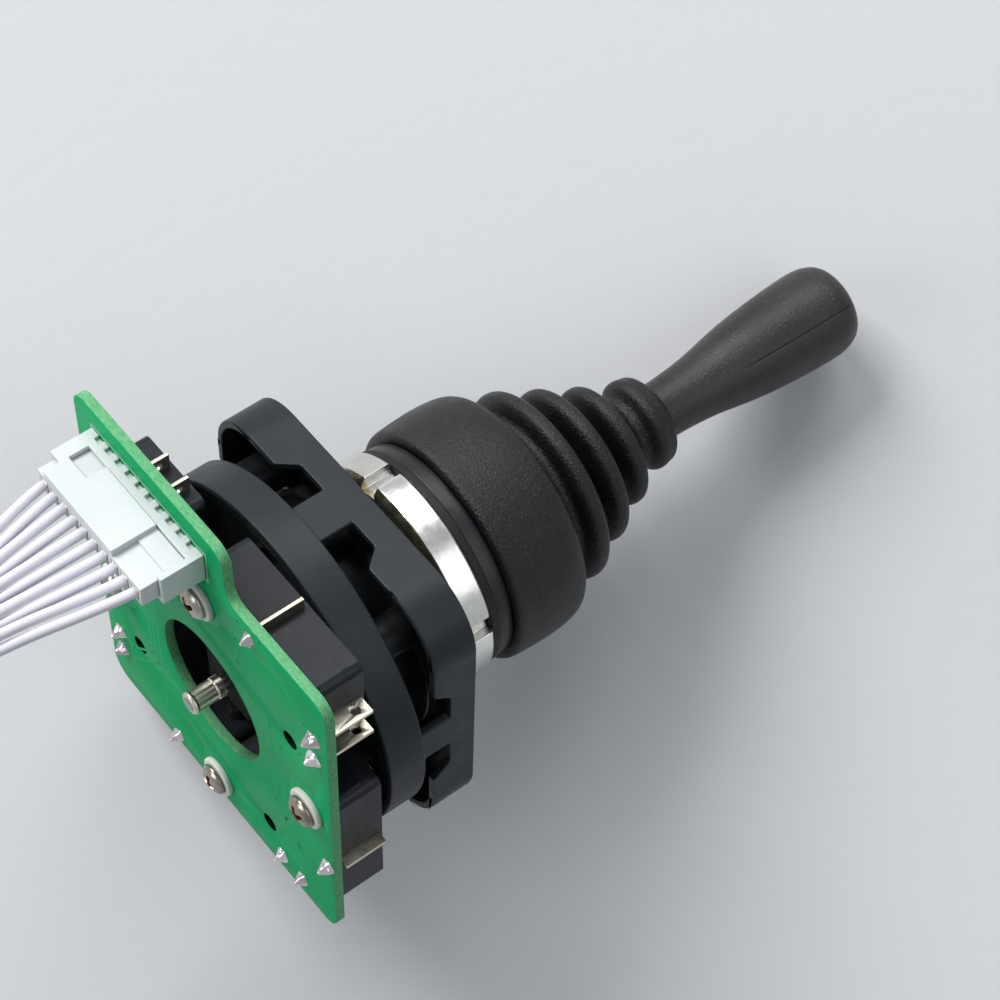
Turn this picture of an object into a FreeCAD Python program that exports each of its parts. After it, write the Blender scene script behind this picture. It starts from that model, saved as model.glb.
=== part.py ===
import FreeCAD
import Part
import Sketcher
import math
import os

# Panel joystick with a bellows boot, four snap-action switches and a board with a ten-wire lead.
# Millimetres. Z is the lever's axis, up towards the grip. The origin is on that axis, in the plane
# where the gasket meets the front of the panel.

V = FreeCAD.Vector
Z_AXIS = V(0, 0, 1)

SIZES = {
    # panel seat, barrel and nut
    "thread_radius": 15.0,
    "barrel_bore": 12.5,
    "gasket_thick": 1.4,
    "gasket_width": 3.6,
    "bezel_thick": 2.6,
    "bezel_inset": 0.2,
    "collar_radius": 17.5,
    "collar_bore": 14.2,
    "collar_tall": 11.0,
    "cup_step": 3.5,
    "nut_thick": 5.65,
    "nut_width": 4.2,
    "nut_slot_wide": 3.2,
    "nut_slot_deep": 1.9,
    "nut_chamfer": 0.5,
    "nut_rear_chamfer": 1.0,
    "nut_turn": 74.0,
    # mounting frame
    "frame_inset": 2.5,
    "frame_corner": 9.9,
    "frame_wall": 1.3,
    "frame_plate": 2.0,
    "frame_depth": 7.6,
    "frame_drop": 9.7,
    "notch_depth": 3.0,
    "notch_half_rim": 11.4,
    "notch_half_root": 8.9,
    "tab_half": 3.6,
    "ring_margin": 0.7,
    "ring_wall": 1.4,
    "ring_depth": 6.2,
    "tab_foot": 3.2,
    # barrel's rear flange and switch carrier
    "rear_flange_gap": 0.25,
    "rear_flange_thick": 2.0,
    "carrier_gap": 0.4,
    "carrier_plate": 2.2,
    "carrier_hole": 10.4,
    "carrier_wall_inset": 0.9,
    "carrier_wall": 2.2,
    "pad_thick": 1.4,
    "pad_long": 16.0,
    "post_radius": 3.3,
    "post_gap": 0.45,
    # circuit board
    "board_drop": 38.0,
    "board_thick": 1.6,
    "board_side_margin": 1.3,
    "board_top_margin": 1.7,
    "board_low_margin": 3.3,
    "board_tab_reach": 9.9,
    "board_tab_past": 7.1,
    "board_hole_inset": 0.5,
    "board_corner": 3.0,
    "board_far_corner": 4.0,
    "board_slot_long": 3.3,
    "board_slot_wide": 1.1,
    "board_slot_inset": 7.9,
    "board_slot_side": 13.2,
    # switches
    "switch_outer": 28.5,
    "switch_tall": 15.9,
    "switch_long": 27.8,
    "switch_hole_inset": 2.8,
    "switch_hole_pitch": 22.2,
    "switch_deep": 8.2,
    "switch_case_deep": 5.6,
    "switch_floor": 1.2,
    "switch_side": 1.6,
    "switch_cavity": 7.0,
    "switch_round": 1.6,
    "common_side": 12.0,
    "throw_low": 16.2,
    "throw_high": 21.3,
    "blade_thick": 0.6,
    "blade_wide": 7.2,
    "blade_lug": 1.9,
    "throw_reach": 3.0,
    "blade_stem_low": 2.0,
    "blade_stem_wide": 3.0,
    "pin_long": 2.3,
    "pin_wide": 1.0,
    "pin_hole": 0.8,
    "plunger_side": 1.4,
    "plunger_radius": 1.4,
    "plunger_out": 2.3,
    "plunger_level": 3.4,
    "plunger_flange": 1.9,
    "plunger_flange_thick": 0.8,
    "plunger_gap": 0.15,
    "plunger_travel": 0.8,
    "leaf_thick": 0.25,
    "leaf_wide": 2.4,
    # screws and washers
    "screw_inset": 4.1,
    "screw_radius": 1.5,
    "screw_fit": 0.1,
    "screw_head_radius": 2.65,
    "screw_head_tall": 1.7,
    "screw_long": 12.0,
    "recess_wide": 0.8,
    "recess_long": 3.2,
    "recess_deep": 0.9,
    "washer_radius": 3.4,
    "washer_thick": 1.0,
    "frame_screw_long": 9.0,
    # connector
    "pin_pitch": 2.5,
    "pin_first_step": 7.0,
    "pin_row_step": 2.6,
    "header_long": 27.4,
    "header_deep": 5.75,
    "header_tall": 7.0,
    "header_wall": 0.8,
    "header_floor": 1.1,
    "header_strip": 2.2,
    "header_left_cap": 2.45,
    "header_right_cap": 1.05,
    "header_offset": 0.1,
    "header_pin": 0.64,
    "plug_end": 9.8,
    "plug_proud": 0.35,
    "plug_block_start": 7.15,
    "plug_block_long": 12.4,
    "plug_step": 5.6,
    "plug_low_face": 0.45,
    "plug_fit": 0.12,
    "contact_wide": 1.4,
    "contact_deep": 1.7,
    "contact_fit": 0.08,
    "wire_radius": 0.8,
    "tip_radius": 0.42,
    "tip_long": 5.0,
    # gimbal and lever
    "pivot_drop": 8.0,
    "gimbal_radius": 11.2,
    "gimbal_bore": 7.9,
    "gimbal_tall": 5.0,
    "gimbal_pin": 1.5,
    "pivot_fit": 0.08,
    "gimbal_pin_end": 14.2,
    "hub_radius": 6.9,
    "hub_tall": 8.0,
    "rod_radius": 3.0,
    "rod_top": 72.0,
    "tail_radius": 1.2,
    "tail_step": 28.0,
    "tail_drop": 42.0,
    "ferrule_radius": 1.8,
    "ferrule_long": 5.8,
    "ferrule_flat": 1.5,
    "cam_half": 6.0,
    "cam_edge": 0.8,
    "cam_tall": 5.2,
    "cam_corner": 2.0,
    "cam_drop": 32.5,
    # return spring
    "cup_thick": 1.4,
    "cup_radius": 13.9,
    "cup_bore": 7.35,
    "cup_lip": 1.8,
    "cup_lip_wall": 0.5,
    "spring_radius": 7.9,
    "spring_wire": 0.55,
    "spring_tall": 12.0,
    "spring_turns": 4.0,
    "spring_seat_gap": 0.05,
    "washer_hat_radius": 9.2,
    "washer_hat_thick": 1.2,
    "clip_radius": 4.6,
    "clip_thick": 0.8,
    # boot
    "boot_wall": 1.4,
    "boot_fit": 0.3,
    "boot_radius": 20.0,
    "boot_bulge": 0.35,
    "boot_body_top": 17.7,
    "boot_shoulder": 2.6,
    "crest_first": 23.6,
    "crest_pitch": 6.37,
    "crest_radius_first": 16.2,
    "crest_radius_step": 3.03,
    "crest_round": 1.9,
    "boot_top": 46.4,
    "boot_lip": 5.9,
    # grip
    "grip_bottom": 44.6,
    "grip_neck": 4.75,
    "grip_neck_top": 47.0,
    "grip_waist": 6.0,
    "grip_waist_top": 60.5,
    "grip_head": 7.75,
    "grip_head_top": 76.7,
    "grip_top": 85.0,
    "grip_gate": 0.9,
}

# The lead's ten wires, pin by pin: the points of each route, from the plug's rear face to the tip.
WIRE_ROUTES = [
    [(-22.8, -34.4, -47.8), (-22.8, -34.4, -50.0), (-15.90, -35.25, -70.0), (-15.73, -35.11, -100.5),
     (-16.17, -34.84, -137.4), (-16.77, -34.45, -171.4), (-16.64, -34.82, -199.0)],
    [(-20.3, -34.4, -47.8), (-20.3, -34.4, -50.0), (-15.20, -33.55, -69.3), (-14.51, -33.30, -102.1),
     (-14.94, -33.13, -135.7), (-15.49, -32.77, -168.6), (-15.45, -32.99, -198.1)],
    [(-17.8, -34.4, -47.8), (-17.8, -34.4, -50.0), (-13.90, -35.25, -68.6), (-13.36, -35.11, -101.6),
     (-13.65, -34.90, -136.8), (-14.28, -34.47, -169.9), (-14.19, -34.82, -198.5)],
    [(-15.3, -34.4, -47.8), (-15.3, -34.4, -50.0), (-13.20, -33.55, -70.0), (-12.07, -33.36, -101.6),
     (-12.49, -33.16, -137.6), (-13.05, -32.72, -170.8), (-12.86, -33.05, -195.5)],
    [(-12.8, -34.4, -47.8), (-12.8, -34.4, -50.0), (-11.50, -35.25, -69.3), (-10.86, -35.08, -99.6),
     (-11.36, -34.86, -136.2), (-11.96, -34.45, -171.4), (-11.60, -34.71, -196.9)],
    [(-10.3, -34.4, -47.8), (-10.3, -34.4, -50.0), (-10.90, -33.55, -68.6), (-9.64, -33.38, -100.4),
     (-10.08, -33.14, -137.1), (-10.65, -32.68, -170.1), (-10.35, -33.12, -196.3)],
    [(-7.8, -34.4, -47.8), (-7.8, -34.4, -50.0), (-8.50, -35.25, -70.0), (-8.48, -34.97, -100.0),
     (-8.93, -34.87, -136.5), (-9.58, -34.46, -171.0), (-9.19, -34.82, -196.0)],
    [(-5.3, -34.4, -47.8), (-5.3, -34.4, -50.0), (-7.80, -33.55, -69.3), (-7.36, -33.39, -101.3),
     (-7.64, -33.22, -137.2), (-8.29, -32.69, -169.0), (-7.82, -33.09, -197.6)],
    [(-2.8, -34.4, -47.8), (-2.8, -34.4, -50.0), (-5.60, -35.25, -68.6), (-6.12, -34.99, -99.6),
     (-6.56, -34.90, -137.8), (-7.14, -34.45, -169.7), (-6.66, -34.83, -197.6)],
    [(-0.3, -34.4, -47.8), (-0.3, -34.4, -50.0), (-4.70, -33.55, -70.0), (-4.92, -33.34, -99.6),
     (-5.27, -33.15, -136.6), (-5.87, -32.82, -168.8), (-5.33, -32.99, -195.9)],
]

doc = FreeCAD.newDocument("panel_joystick")
sheet = doc.addObject("Spreadsheet::Sheet", "Sizes")
for row, (alias, value) in enumerate(SIZES.items(), start=1):
    sheet.set("A%d" % row, alias)
    sheet.set("B%d" % row, str(value))
    sheet.setAlias("B%d" % row, alias)
doc.recompute()


class Size:
    """A length with both its value and the expression on the sheet that it comes from."""

    def __init__(self, value, text):
        self.value = float(value)
        self.text = text

    def __add__(self, other):
        other = as_size(other)
        return Size(self.value + other.value, "(%s + %s)" % (self.text, other.text))

    def __sub__(self, other):
        other = as_size(other)
        return Size(self.value - other.value, "(%s - %s)" % (self.text, other.text))

    def __mul__(self, other):
        other = as_size(other)
        return Size(self.value * other.value, "(%s * %s)" % (self.text, other.text))

    def __truediv__(self, other):
        other = as_size(other)
        return Size(self.value / other.value, "(%s / %s)" % (self.text, other.text))

    def __neg__(self):
        return Size(-self.value, "(0 - %s)" % self.text)

    __radd__ = __add__

    def __rsub__(self, other):
        return as_size(other) - self


def as_size(number):
    return number if isinstance(number, Size) else Size(number, repr(float(number)))


def size(alias):
    return Size(sheet.get(alias), "Sizes." + alias)


def bind(obj, prop, value):
    obj.setExpression(prop, as_size(value).text)


def place(obj, x=0, y=0, z=0, turn=0):
    """Sets where an object stands, turned about the vertical through that point."""
    x, y, z = as_size(x), as_size(y), as_size(z)
    obj.Placement = FreeCAD.Placement(V(x.value, y.value, z.value), FreeCAD.Rotation(Z_AXIS, turn))
    bind(obj, ".Placement.Base.x", x)
    bind(obj, ".Placement.Base.y", y)
    bind(obj, ".Placement.Base.z", z)
    return obj


def block(name, x0, x1, y0, y1, z0, z1):
    obj = doc.addObject("Part::Box", name)
    bind(obj, "Length", as_size(x1) - x0)
    bind(obj, "Width", as_size(y1) - y0)
    bind(obj, "Height", as_size(z1) - z0)
    return place(obj, x0, y0, z0)


def rod(name, radius, z0, z1, x=0, y=0):
    obj = doc.addObject("Part::Cylinder", name)
    bind(obj, "Radius", radius)
    bind(obj, "Height", as_size(z1) - z0)
    return place(obj, x, y, z0)


def cross_rod(name, radius, x0, x1, y, z, along="x"):
    """A cylinder that lies along X or Y, from x0 to x1 on that axis."""
    obj = doc.addObject("Part::Cylinder", name)
    bind(obj, "Radius", radius)
    bind(obj, "Height", as_size(x1) - x0)
    if along == "x":
        place(obj, x0, y, z)
        obj.Placement = FreeCAD.Placement(obj.Placement.Base, FreeCAD.Rotation(V(0, 1, 0), 90))
    else:
        place(obj, y, x0, z)
        obj.Placement = FreeCAD.Placement(obj.Placement.Base, FreeCAD.Rotation(V(1, 0, 0), -90))
    return obj


def fuse(name, *parts):
    obj = doc.addObject("Part::MultiFuse", name)
    obj.Shapes = list(parts)
    return obj


def cut(name, base, *tools):
    obj = doc.addObject("Part::Cut", name)
    obj.Base = base
    obj.Tool = tools[0] if len(tools) == 1 else fuse(name + "_tool", *tools)
    return obj


def group(name, parts):
    obj = doc.addObject("Part::Compound", name)
    obj.Links = list(parts)
    return obj


def plane_of(body, role):
    return next(f for f in body.Origin.OriginFeatures if f.Role == role)


def outline_sketch(body, role, points, name):
    """A closed outline of straight sides on a plane of the body. Each corner is bound to two sizes."""
    sketch = body.newObject("Sketcher::SketchObject", name)
    sketch.AttachmentSupport = (plane_of(body, role), [""])
    sketch.MapMode = "FlatFace"
    points = [(as_size(a), as_size(b)) for a, b in points]
    corners = [V(a.value, b.value, 0) for a, b in points]
    count = len(corners)
    sketch.addGeometry([Part.LineSegment(corners[i], corners[(i + 1) % count]) for i in range(count)])
    sketch.addConstraint([Sketcher.Constraint("Coincident", i, 2, (i + 1) % count, 1) for i in range(count)])
    for i, (a, b) in enumerate(points):
        for kind, axis, number in (("DistanceX", -2, a), ("DistanceY", -1, b)):
            if number.value == 0 and number.text == "0.0":
                sketch.addConstraint(Sketcher.Constraint("PointOnObject", i, 1, axis))
                continue
            index = sketch.addConstraint(Sketcher.Constraint(kind, -1, 1, i, 1, number.value))
            sketch.setExpression("Constraints[%d]" % index, number.text)
    return sketch


def turned_piece(name, points):
    """A body of revolution about Z from a profile of (radius, height) corners."""
    body = doc.addObject("PartDesign::Body", name)
    sketch = outline_sketch(body, "XZ_Plane", points, name + "_profile")
    revolution = body.newObject("PartDesign::Revolution", name + "_turn")
    revolution.Profile = sketch
    revolution.ReferenceAxis = (sketch, ["V_Axis"])
    revolution.Angle = 360
    sketch.Visibility = False
    doc.recompute()
    return body


def flat_piece(name, points, thickness):
    """A plate of even thickness from an outline of (x, y) corners, standing on Z 0."""
    body = doc.addObject("PartDesign::Body", name)
    sketch = outline_sketch(body, "XY_Plane", points, name + "_outline")
    pad = body.newObject("PartDesign::Pad", name + "_pad")
    pad.Profile = sketch
    bind(pad, "Length", thickness)
    doc.recompute()
    return body


def round_upright_edges(body, radius, wanted=lambda x, y: True):
    """Fillets the plate's upright edges whose place is wanted."""
    solid = body.Tip
    names = []
    for i, edge in enumerate(solid.Shape.Edges, start=1):
        ends = [v.Point for v in edge.Vertexes]
        upright = len(ends) == 2 and (ends[0] - ends[1]).cross(Z_AXIS).Length < 1e-6
        if upright and wanted(ends[0].x, ends[0].y):
            names.append("Edge%d" % i)
    fillet = body.newObject("PartDesign::Fillet", "%s_round_%d" % (body.Name, len(body.Group)))
    fillet.Base = (solid, names)
    bind(fillet, "Radius", radius)
    body.Tip = fillet
    doc.recompute()
    return body


def rectangle(x0, x1, y0, y1):
    return [(x0, y0), (x1, y0), (x1, y1), (x0, y1)]


NODES = []


def node(name, obj):
    """Names a finished sub-part."""
    obj.Label = name
    NODES.append(obj)
    return obj


def solid_feature(name, shape):
    obj = doc.addObject("Part::Feature", name)
    obj.Shape = shape
    return obj


# Levels that many pieces share, along Z from the panel's front.
bezel_back = size("gasket_thick")
bezel_front = bezel_back + size("bezel_thick")
collar_top = bezel_front + size("collar_tall")
frame_front = -size("frame_drop")
plate_back = frame_front - size("frame_plate")
frame_back = frame_front - size("frame_depth")
rear_end = plate_back - size("rear_flange_thick")
board_back = -size("board_drop")
board_front = board_back + size("board_thick")
switch_front = board_front + size("switch_deep")
carrier_back = switch_front + size("pad_thick")
carrier_front = carrier_back + size("carrier_plate")
ring_back = carrier_back
ring_front = ring_back + size("ring_depth")
pivot = -size("pivot_drop")
screw_fit = size("screw_radius") + size("screw_fit")
cup_seat = bezel_front + size("cup_step")

# Places across that several pieces share.
gasket_radius = size("thread_radius") + size("gasket_width")
bezel_radius = gasket_radius - size("bezel_inset")
nut_radius = size("thread_radius") + size("nut_width")
ring_radius = size("switch_outer") + size("ring_margin")
frame_half = ring_radius - size("frame_inset")
ring_bore = ring_radius - size("ring_wall")
carrier_radius = ring_bore - size("carrier_gap")
post_middle = ring_bore - size("post_gap") - size("post_radius")
post_spot = post_middle * 0.70711
rear_flange_radius = post_middle - size("post_radius") - size("rear_flange_gap")
carrier_wall_radius = rear_flange_radius - size("carrier_wall_inset")
screw_place = size("switch_outer") - size("screw_inset")
board_slot_place = size("switch_outer") - size("board_slot_inset")
board_hole_radius = size("switch_outer") - size("switch_tall") - size("board_hole_inset")
board_side = size("switch_outer") + size("board_side_margin")
board_top = size("switch_outer") + size("board_top_margin")
board_low = -(size("switch_outer") + size("board_low_margin"))
pin_row = board_low - size("pin_row_step")
pin_first = size("pin_first_step") - board_side
plug_rear = board_back - size("plug_end")


def make_barrel():
    """Threaded barrel with its bezel, boot collar and rear flange, bored for the gimbal's pins."""
    bore = size("barrel_bore")
    profile = [
        (bore, 0.0),
        (rear_flange_radius, 0.0),
        (rear_flange_radius, size("rear_flange_thick")),
        (size("thread_radius"), size("rear_flange_thick")),
        (size("thread_radius"), bezel_back - rear_end),
        (bezel_radius, bezel_back - rear_end),
        (bezel_radius, bezel_front - rear_end),
        (size("collar_radius"), bezel_front - rear_end),
        (size("collar_radius"), collar_top - rear_end),
        (size("collar_bore"), collar_top - rear_end),
        (size("collar_bore"), cup_seat - rear_end),
        (bore, cup_seat - rear_end),
    ]
    body = place(turned_piece("barrel_body", profile), z=rear_end)
    reach = size("gimbal_pin_end") + size("pivot_fit")
    holes = cross_rod("barrel_pin_holes", size("gimbal_pin") + size("pivot_fit"), -reach, reach, 0, pivot)
    node("barrel", cut("barrel", body, holes))


def make_gasket():
    ring = rod("gasket_disc", gasket_radius, 0, size("gasket_thick"))
    hole = rod("gasket_hole", size("thread_radius"), -1, size("gasket_thick") + 1)
    node("panel_gasket", cut("panel_gasket", ring, hole))


def make_ring_nut():
    """Round nut with four spanner slots."""
    edge, rear_edge = size("nut_chamfer"), size("nut_rear_chamfer")
    radius, thick = nut_radius, size("nut_thick")
    profile = [
        (size("thread_radius"), 0.0),
        (radius - rear_edge, 0.0),
        (radius, rear_edge),
        (radius, thick - edge),
        (radius - edge, thick),
        (size("thread_radius"), thick),
    ]
    body = place(turned_piece("nut_body", profile), z=-thick)
    half = size("nut_slot_wide") / 2
    slots = []
    for k in range(4):
        slot = block("nut_slot_%d" % k, radius - size("nut_slot_deep"), radius + 2, -half, half, -thick - 1, 1)
        turn = size("nut_turn").value + 90 * k
        slots.append(doc.addObject("Part::Compound", "nut_slot_turned_%d" % k))
        slots[-1].Links = [slot]
        slots[-1].Placement = FreeCAD.Placement(V(), FreeCAD.Rotation(Z_AXIS, turn))
    node("ring_nut", cut("ring_nut", body, *slots))


def rounded_plate(name, half, corner, z0, z1):
    body = flat_piece(name, rectangle(-half, half, -half, half), as_size(z1) - z0)
    return place(round_upright_edges(body, corner), z=z0)


def around(name, maker, count=4, start=0.0):
    """The same piece, made count times and turned evenly about Z."""
    made = []
    for k in range(count):
        piece = group("%s_turned_%d" % (name, k), [maker("%s_%d" % (name, k))])
        piece.Placement = FreeCAD.Placement(V(), FreeCAD.Rotation(Z_AXIS, start + 360.0 / count * k))
        made.append(piece)
    return made


def make_mounting_frame():
    """Rounded square frame, open behind, with four notched bridges to a round rear ring."""
    half, wall = frame_half, size("frame_wall")
    shell = rounded_plate("frame_outer", half, size("frame_corner"), frame_back, frame_front)
    hollow = rounded_plate(
        "frame_hollow", half - wall, size("frame_corner") - wall, frame_back - 1, plate_back
    )
    barrel_hole = rod("frame_barrel_hole", size("thread_radius"), plate_back - 1, frame_front + 1)

    def notch(name):
        rim, root = size("notch_half_rim"), size("notch_half_root")
        body = doc.addObject("PartDesign::Body", name)
        points = [(-rim, -0.5), (rim, -0.5), (rim, 0.0), (root, size("notch_depth")),
                  (-root, size("notch_depth")), (-rim, 0.0)]
        sketch = outline_sketch(body, "XZ_Plane", points, name + "_outline")
        pad = body.newObject("PartDesign::Pad", name + "_pad")
        pad.Profile = sketch
        bind(pad, "Length", wall + 2)
        doc.recompute()
        return place(body, y=wall + 1 - half, z=frame_back)

    def screw_hole(name):
        return rod(name, screw_fit, plate_back - 1, frame_front + 1, post_spot, post_spot)

    def bridge(name):
        tab = size("tab_half")
        leg = block(name + "_leg", -tab, tab, -half, wall - half, ring_front - size("tab_foot"), plate_back)
        outer = ring_radius - size("ring_wall") / 2
        foot = block(name + "_foot", -tab, tab, -outer, wall - half, ring_front - size("tab_foot"), ring_front)
        return fuse(name, leg, foot)

    tools = [hollow, barrel_hole] + around("frame_notch", notch) + around("frame_screw_hole", screw_hole)
    frame = cut("frame_shell", shell, *tools)
    ring = cut(
        "frame_ring",
        rod("frame_ring_outer", ring_radius, ring_back, ring_front),
        rod("frame_ring_inner", ring_bore, ring_back - 1, ring_front + 1),
    )
    node("mounting_frame", fuse("mounting_frame", frame, ring, *around("frame_bridge", bridge)))


def make_carrier():
    """Moulded carrier: a disc with switch pads and posts, and a wall that seats on the barrel's flange."""
    disc = rod("carrier_disc", carrier_radius, carrier_back, carrier_front)
    wall = cut(
        "carrier_wall",
        rod("carrier_wall_outer", carrier_wall_radius, carrier_back, rear_end),
        rod("carrier_wall_inner", carrier_wall_radius - size("carrier_wall"), carrier_back - 1, rear_end + 1),
    )
    outer = size("switch_outer")

    def pad(name):
        low = -size("switch_hole_inset")
        return block(name, outer - size("switch_tall") + 1, outer - 4, low, low + size("pad_long"),
                     switch_front, carrier_back)

    def post(name):
        return rod(name, size("post_radius"), carrier_back, plate_back, post_spot, post_spot)

    def post_hole(name):
        return rod(name, screw_fit, carrier_front, plate_back + 1, post_spot, post_spot)

    def board_hole(name):
        return rod(name, screw_fit, switch_front - 1, carrier_front + 1, screw_place, 0)

    parts = [disc, wall] + around("carrier_pad", pad) + around("carrier_post", post)
    middle = rod("carrier_middle", size("carrier_hole"), carrier_back - 1, carrier_front + 1)
    tools = [middle] + around("carrier_post_hole", post_hole) + around("carrier_board_hole", board_hole)
    node("switch_carrier", cut("switch_carrier", fuse("carrier_solid", *parts), *tools))


def screw(name, head_at, long, x, y, up=True):
    """A cross-recessed screw whose head's seat is at head_at, pointing up or down."""
    sign = 1 if up else -1
    radius, tall = size("screw_head_radius"), size("screw_head_tall")
    head = doc.addObject("Part::Cylinder", name + "_head")
    bind(head, "Radius", radius)
    bind(head, "Height", tall)
    place(head, x, y, head_at - tall if up else head_at)
    shank = doc.addObject("Part::Cylinder", name + "_shank")
    bind(shank, "Radius", size("screw_radius"))
    bind(shank, "Height", long)
    place(shank, x, y, head_at if up else head_at - long)
    half, wide = size("recess_long") / 2, size("recess_wide") / 2
    face = head_at - tall * sign
    low, high = (face - 1, face + size("recess_deep")) if up else (face - size("recess_deep"), face + 1)
    bars = [
        block(name + "_bar_a", x - half, x + half, y - wide, y + wide, low, high),
        block(name + "_bar_b", x - wide, x + wide, y - half, y + half, low, high),
    ]
    return cut(name, fuse(name + "_solid", head, shank), *bars)


def make_screws():
    washer_top = board_back - size("washer_thick")
    place_at = screw_place

    def board_screw(name):
        return screw(name, washer_top, size("screw_long"), place_at, as_size(0))

    def board_washer(name):
        disc = rod(name + "_disc", size("washer_radius"), washer_top, board_back, place_at, 0)
        hole = rod(name + "_hole", screw_fit, washer_top - 1, board_back + 1, place_at, 0)
        return cut(name, disc, hole)

    def frame_screw(name):
        return screw(name, frame_front, size("frame_screw_long"), post_spot, post_spot, up=False)

    node("board_screws", group("board_screws", around("board_screw", board_screw)))
    node("board_washers", group("board_washers", around("board_washer", board_washer)))
    node("frame_screws", group("frame_screws", around("frame_screw", frame_screw)))


def make_board():
    """Circuit board with its side tab, lever hole, slots and pin holes."""
    edge = pin_x(9) + size("board_tab_past")
    end = board_low - size("board_tab_reach")
    points = [(-board_side, end), (edge, end), (edge, board_low), (board_side, board_low),
              (board_side, board_top), (-board_side, board_top)]
    body = flat_piece("board_body", points, size("board_thick"))
    round_upright_edges(body, size("board_corner"), lambda x, y: not (x < 0 and y > 0))
    round_upright_edges(body, size("board_far_corner"), lambda x, y: x < -board_side.value + 0.1 and y > board_top.value - 0.1)
    place(body, z=board_back)
    low, high = board_back - 1, board_front + 1
    pin = size("pin_hole")

    def terminal_holes(name):
        outer, end_at = size("switch_outer"), size("switch_long") - size("switch_hole_inset")
        spots = [(outer, size("common_side"))]
        spots += [(size(throw), end_at + size("throw_reach") / 2) for throw in ("throw_low", "throw_high")]
        return fuse(name, *[rod("%s_%d" % (name, i), pin, low, high, x, y) for i, (x, y) in enumerate(spots)])

    def slot(name):
        at, side = board_slot_place, -size("board_slot_side")
        half_long, half_wide = size("board_slot_long") / 2, size("board_slot_wide") / 2
        return block(name, at - half_long, at + half_long, side - half_wide, side + half_wide, low, high)

    def screw_hole(name):
        return rod(name, screw_fit, low, high, screw_place, 0)

    tools = [rod("board_lever_hole", board_hole_radius, low, high)]
    tools += around("board_terminal_holes", terminal_holes)
    tools += around("board_slot", slot)
    tools += around("board_screw_hole", screw_hole)
    tools += [rod("board_pin_hole_%d" % i, pin / 1.4, low, high, pin_x(i), pin_row) for i in range(10)]
    node("circuit_board", cut("circuit_board", body, *tools))


def pin_x(i):
    return pin_first + size("pin_pitch") * i


def switch_box(name, z0, z1):
    """A block of a switch's outline, in the place of the switch at +X."""
    outer, low = size("switch_outer"), -size("switch_hole_inset")
    points = rectangle(outer - size("switch_tall"), outer, low, low + size("switch_long"))
    body = flat_piece(name, points, as_size(z1) - z0)
    return place(round_upright_edges(body, size("switch_round")), z=z0)


def switch_holes(name, z0, z1):
    pitch = size("switch_hole_pitch")
    return [rod("%s_%d" % (name, i), screw_fit, z0, z1, screw_place, pitch * i) for i in range(2)]


def turned_node(name, piece, k):
    obj = group(name, [piece])
    obj.Placement = FreeCAD.Placement(V(), FreeCAD.Rotation(Z_AXIS, 90.0 * k))
    return node(name, obj)


def make_switch(k):
    """One snap-action switch: case, cover, plunger and leaf spring."""
    tag = "_%d" % (k + 1)
    outer = size("switch_outer")
    inner = outer - size("switch_tall")
    low = -size("switch_hole_inset")
    far = low + size("switch_long")
    side = size("switch_side")
    seam = board_front + size("switch_case_deep")
    cavity_end = inner + side + size("switch_cavity")
    cavity = block("cavity" + tag, inner + side, cavity_end, low + side, far - side,
                   board_front + size("switch_floor"), seam + 1)
    level = board_front + size("plunger_level")
    stem = size("plunger_radius")
    bore = cross_rod("plunger_bore" + tag, stem + size("pivot_fit"), inner - 1, inner + side + 0.5,
                     size("plunger_side"), level)
    stem_low = board_front + size("blade_stem_low")
    stem_high = stem_low + size("blade_stem_wide")
    thin = size("blade_thick") / 2
    common = size("common_side")
    slots = [block("common_slot" + tag, cavity_end - 0.5, outer + 1, common - thin, common + thin, stem_low, stem_high)]
    for name in ("throw_low", "throw_high"):
        at = size(name)
        slots.append(block(name + "_slot" + tag, at - thin, at + thin, far - side - 0.5, far + 1, stem_low, stem_high))
    holes = switch_holes("case_hole" + tag, board_front - 1, seam + 1)
    case = cut("case" + tag, switch_box("case_box" + tag, board_front, seam), cavity, bore, *slots, *holes)
    turned_node("switch_case" + tag, case, k)
    cover = cut("cover" + tag, switch_box("cover_box" + tag, seam, switch_front),
                *switch_holes("cover_hole" + tag, seam - 1, switch_front + 1))
    turned_node("switch_cover" + tag, cover, k)
    flange_at = inner + side + size("plunger_gap")
    tip = cross_rod("plunger_stem" + tag, stem, inner - size("plunger_out"), flange_at + 0.2,
                    size("plunger_side"), level)
    flange = cross_rod("plunger_flange" + tag, size("plunger_flange"), flange_at,
                       flange_at + size("plunger_flange_thick"), size("plunger_side"), level)
    turned_node("plunger" + tag, fuse("plunger_solid" + tag, tip, flange), k)
    leaf_at = flange_at + size("plunger_flange_thick") + size("plunger_travel") + size("plunger_gap")
    thick = size("leaf_thick")
    points = [
        (leaf_at, size("plunger_side") - 2), (leaf_at + thick, size("plunger_side") - 2),
        (leaf_at + thick, common), (cavity_end - 3, far - side - 2), (cavity_end - 3 - thick, far - side - 2),
        (leaf_at, common),
    ]
    leaf = flat_piece("leaf" + tag, points, size("leaf_wide"))
    place(leaf, z=board_front + size("switch_floor"))
    turned_node("snap_spring" + tag, leaf, k)


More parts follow.
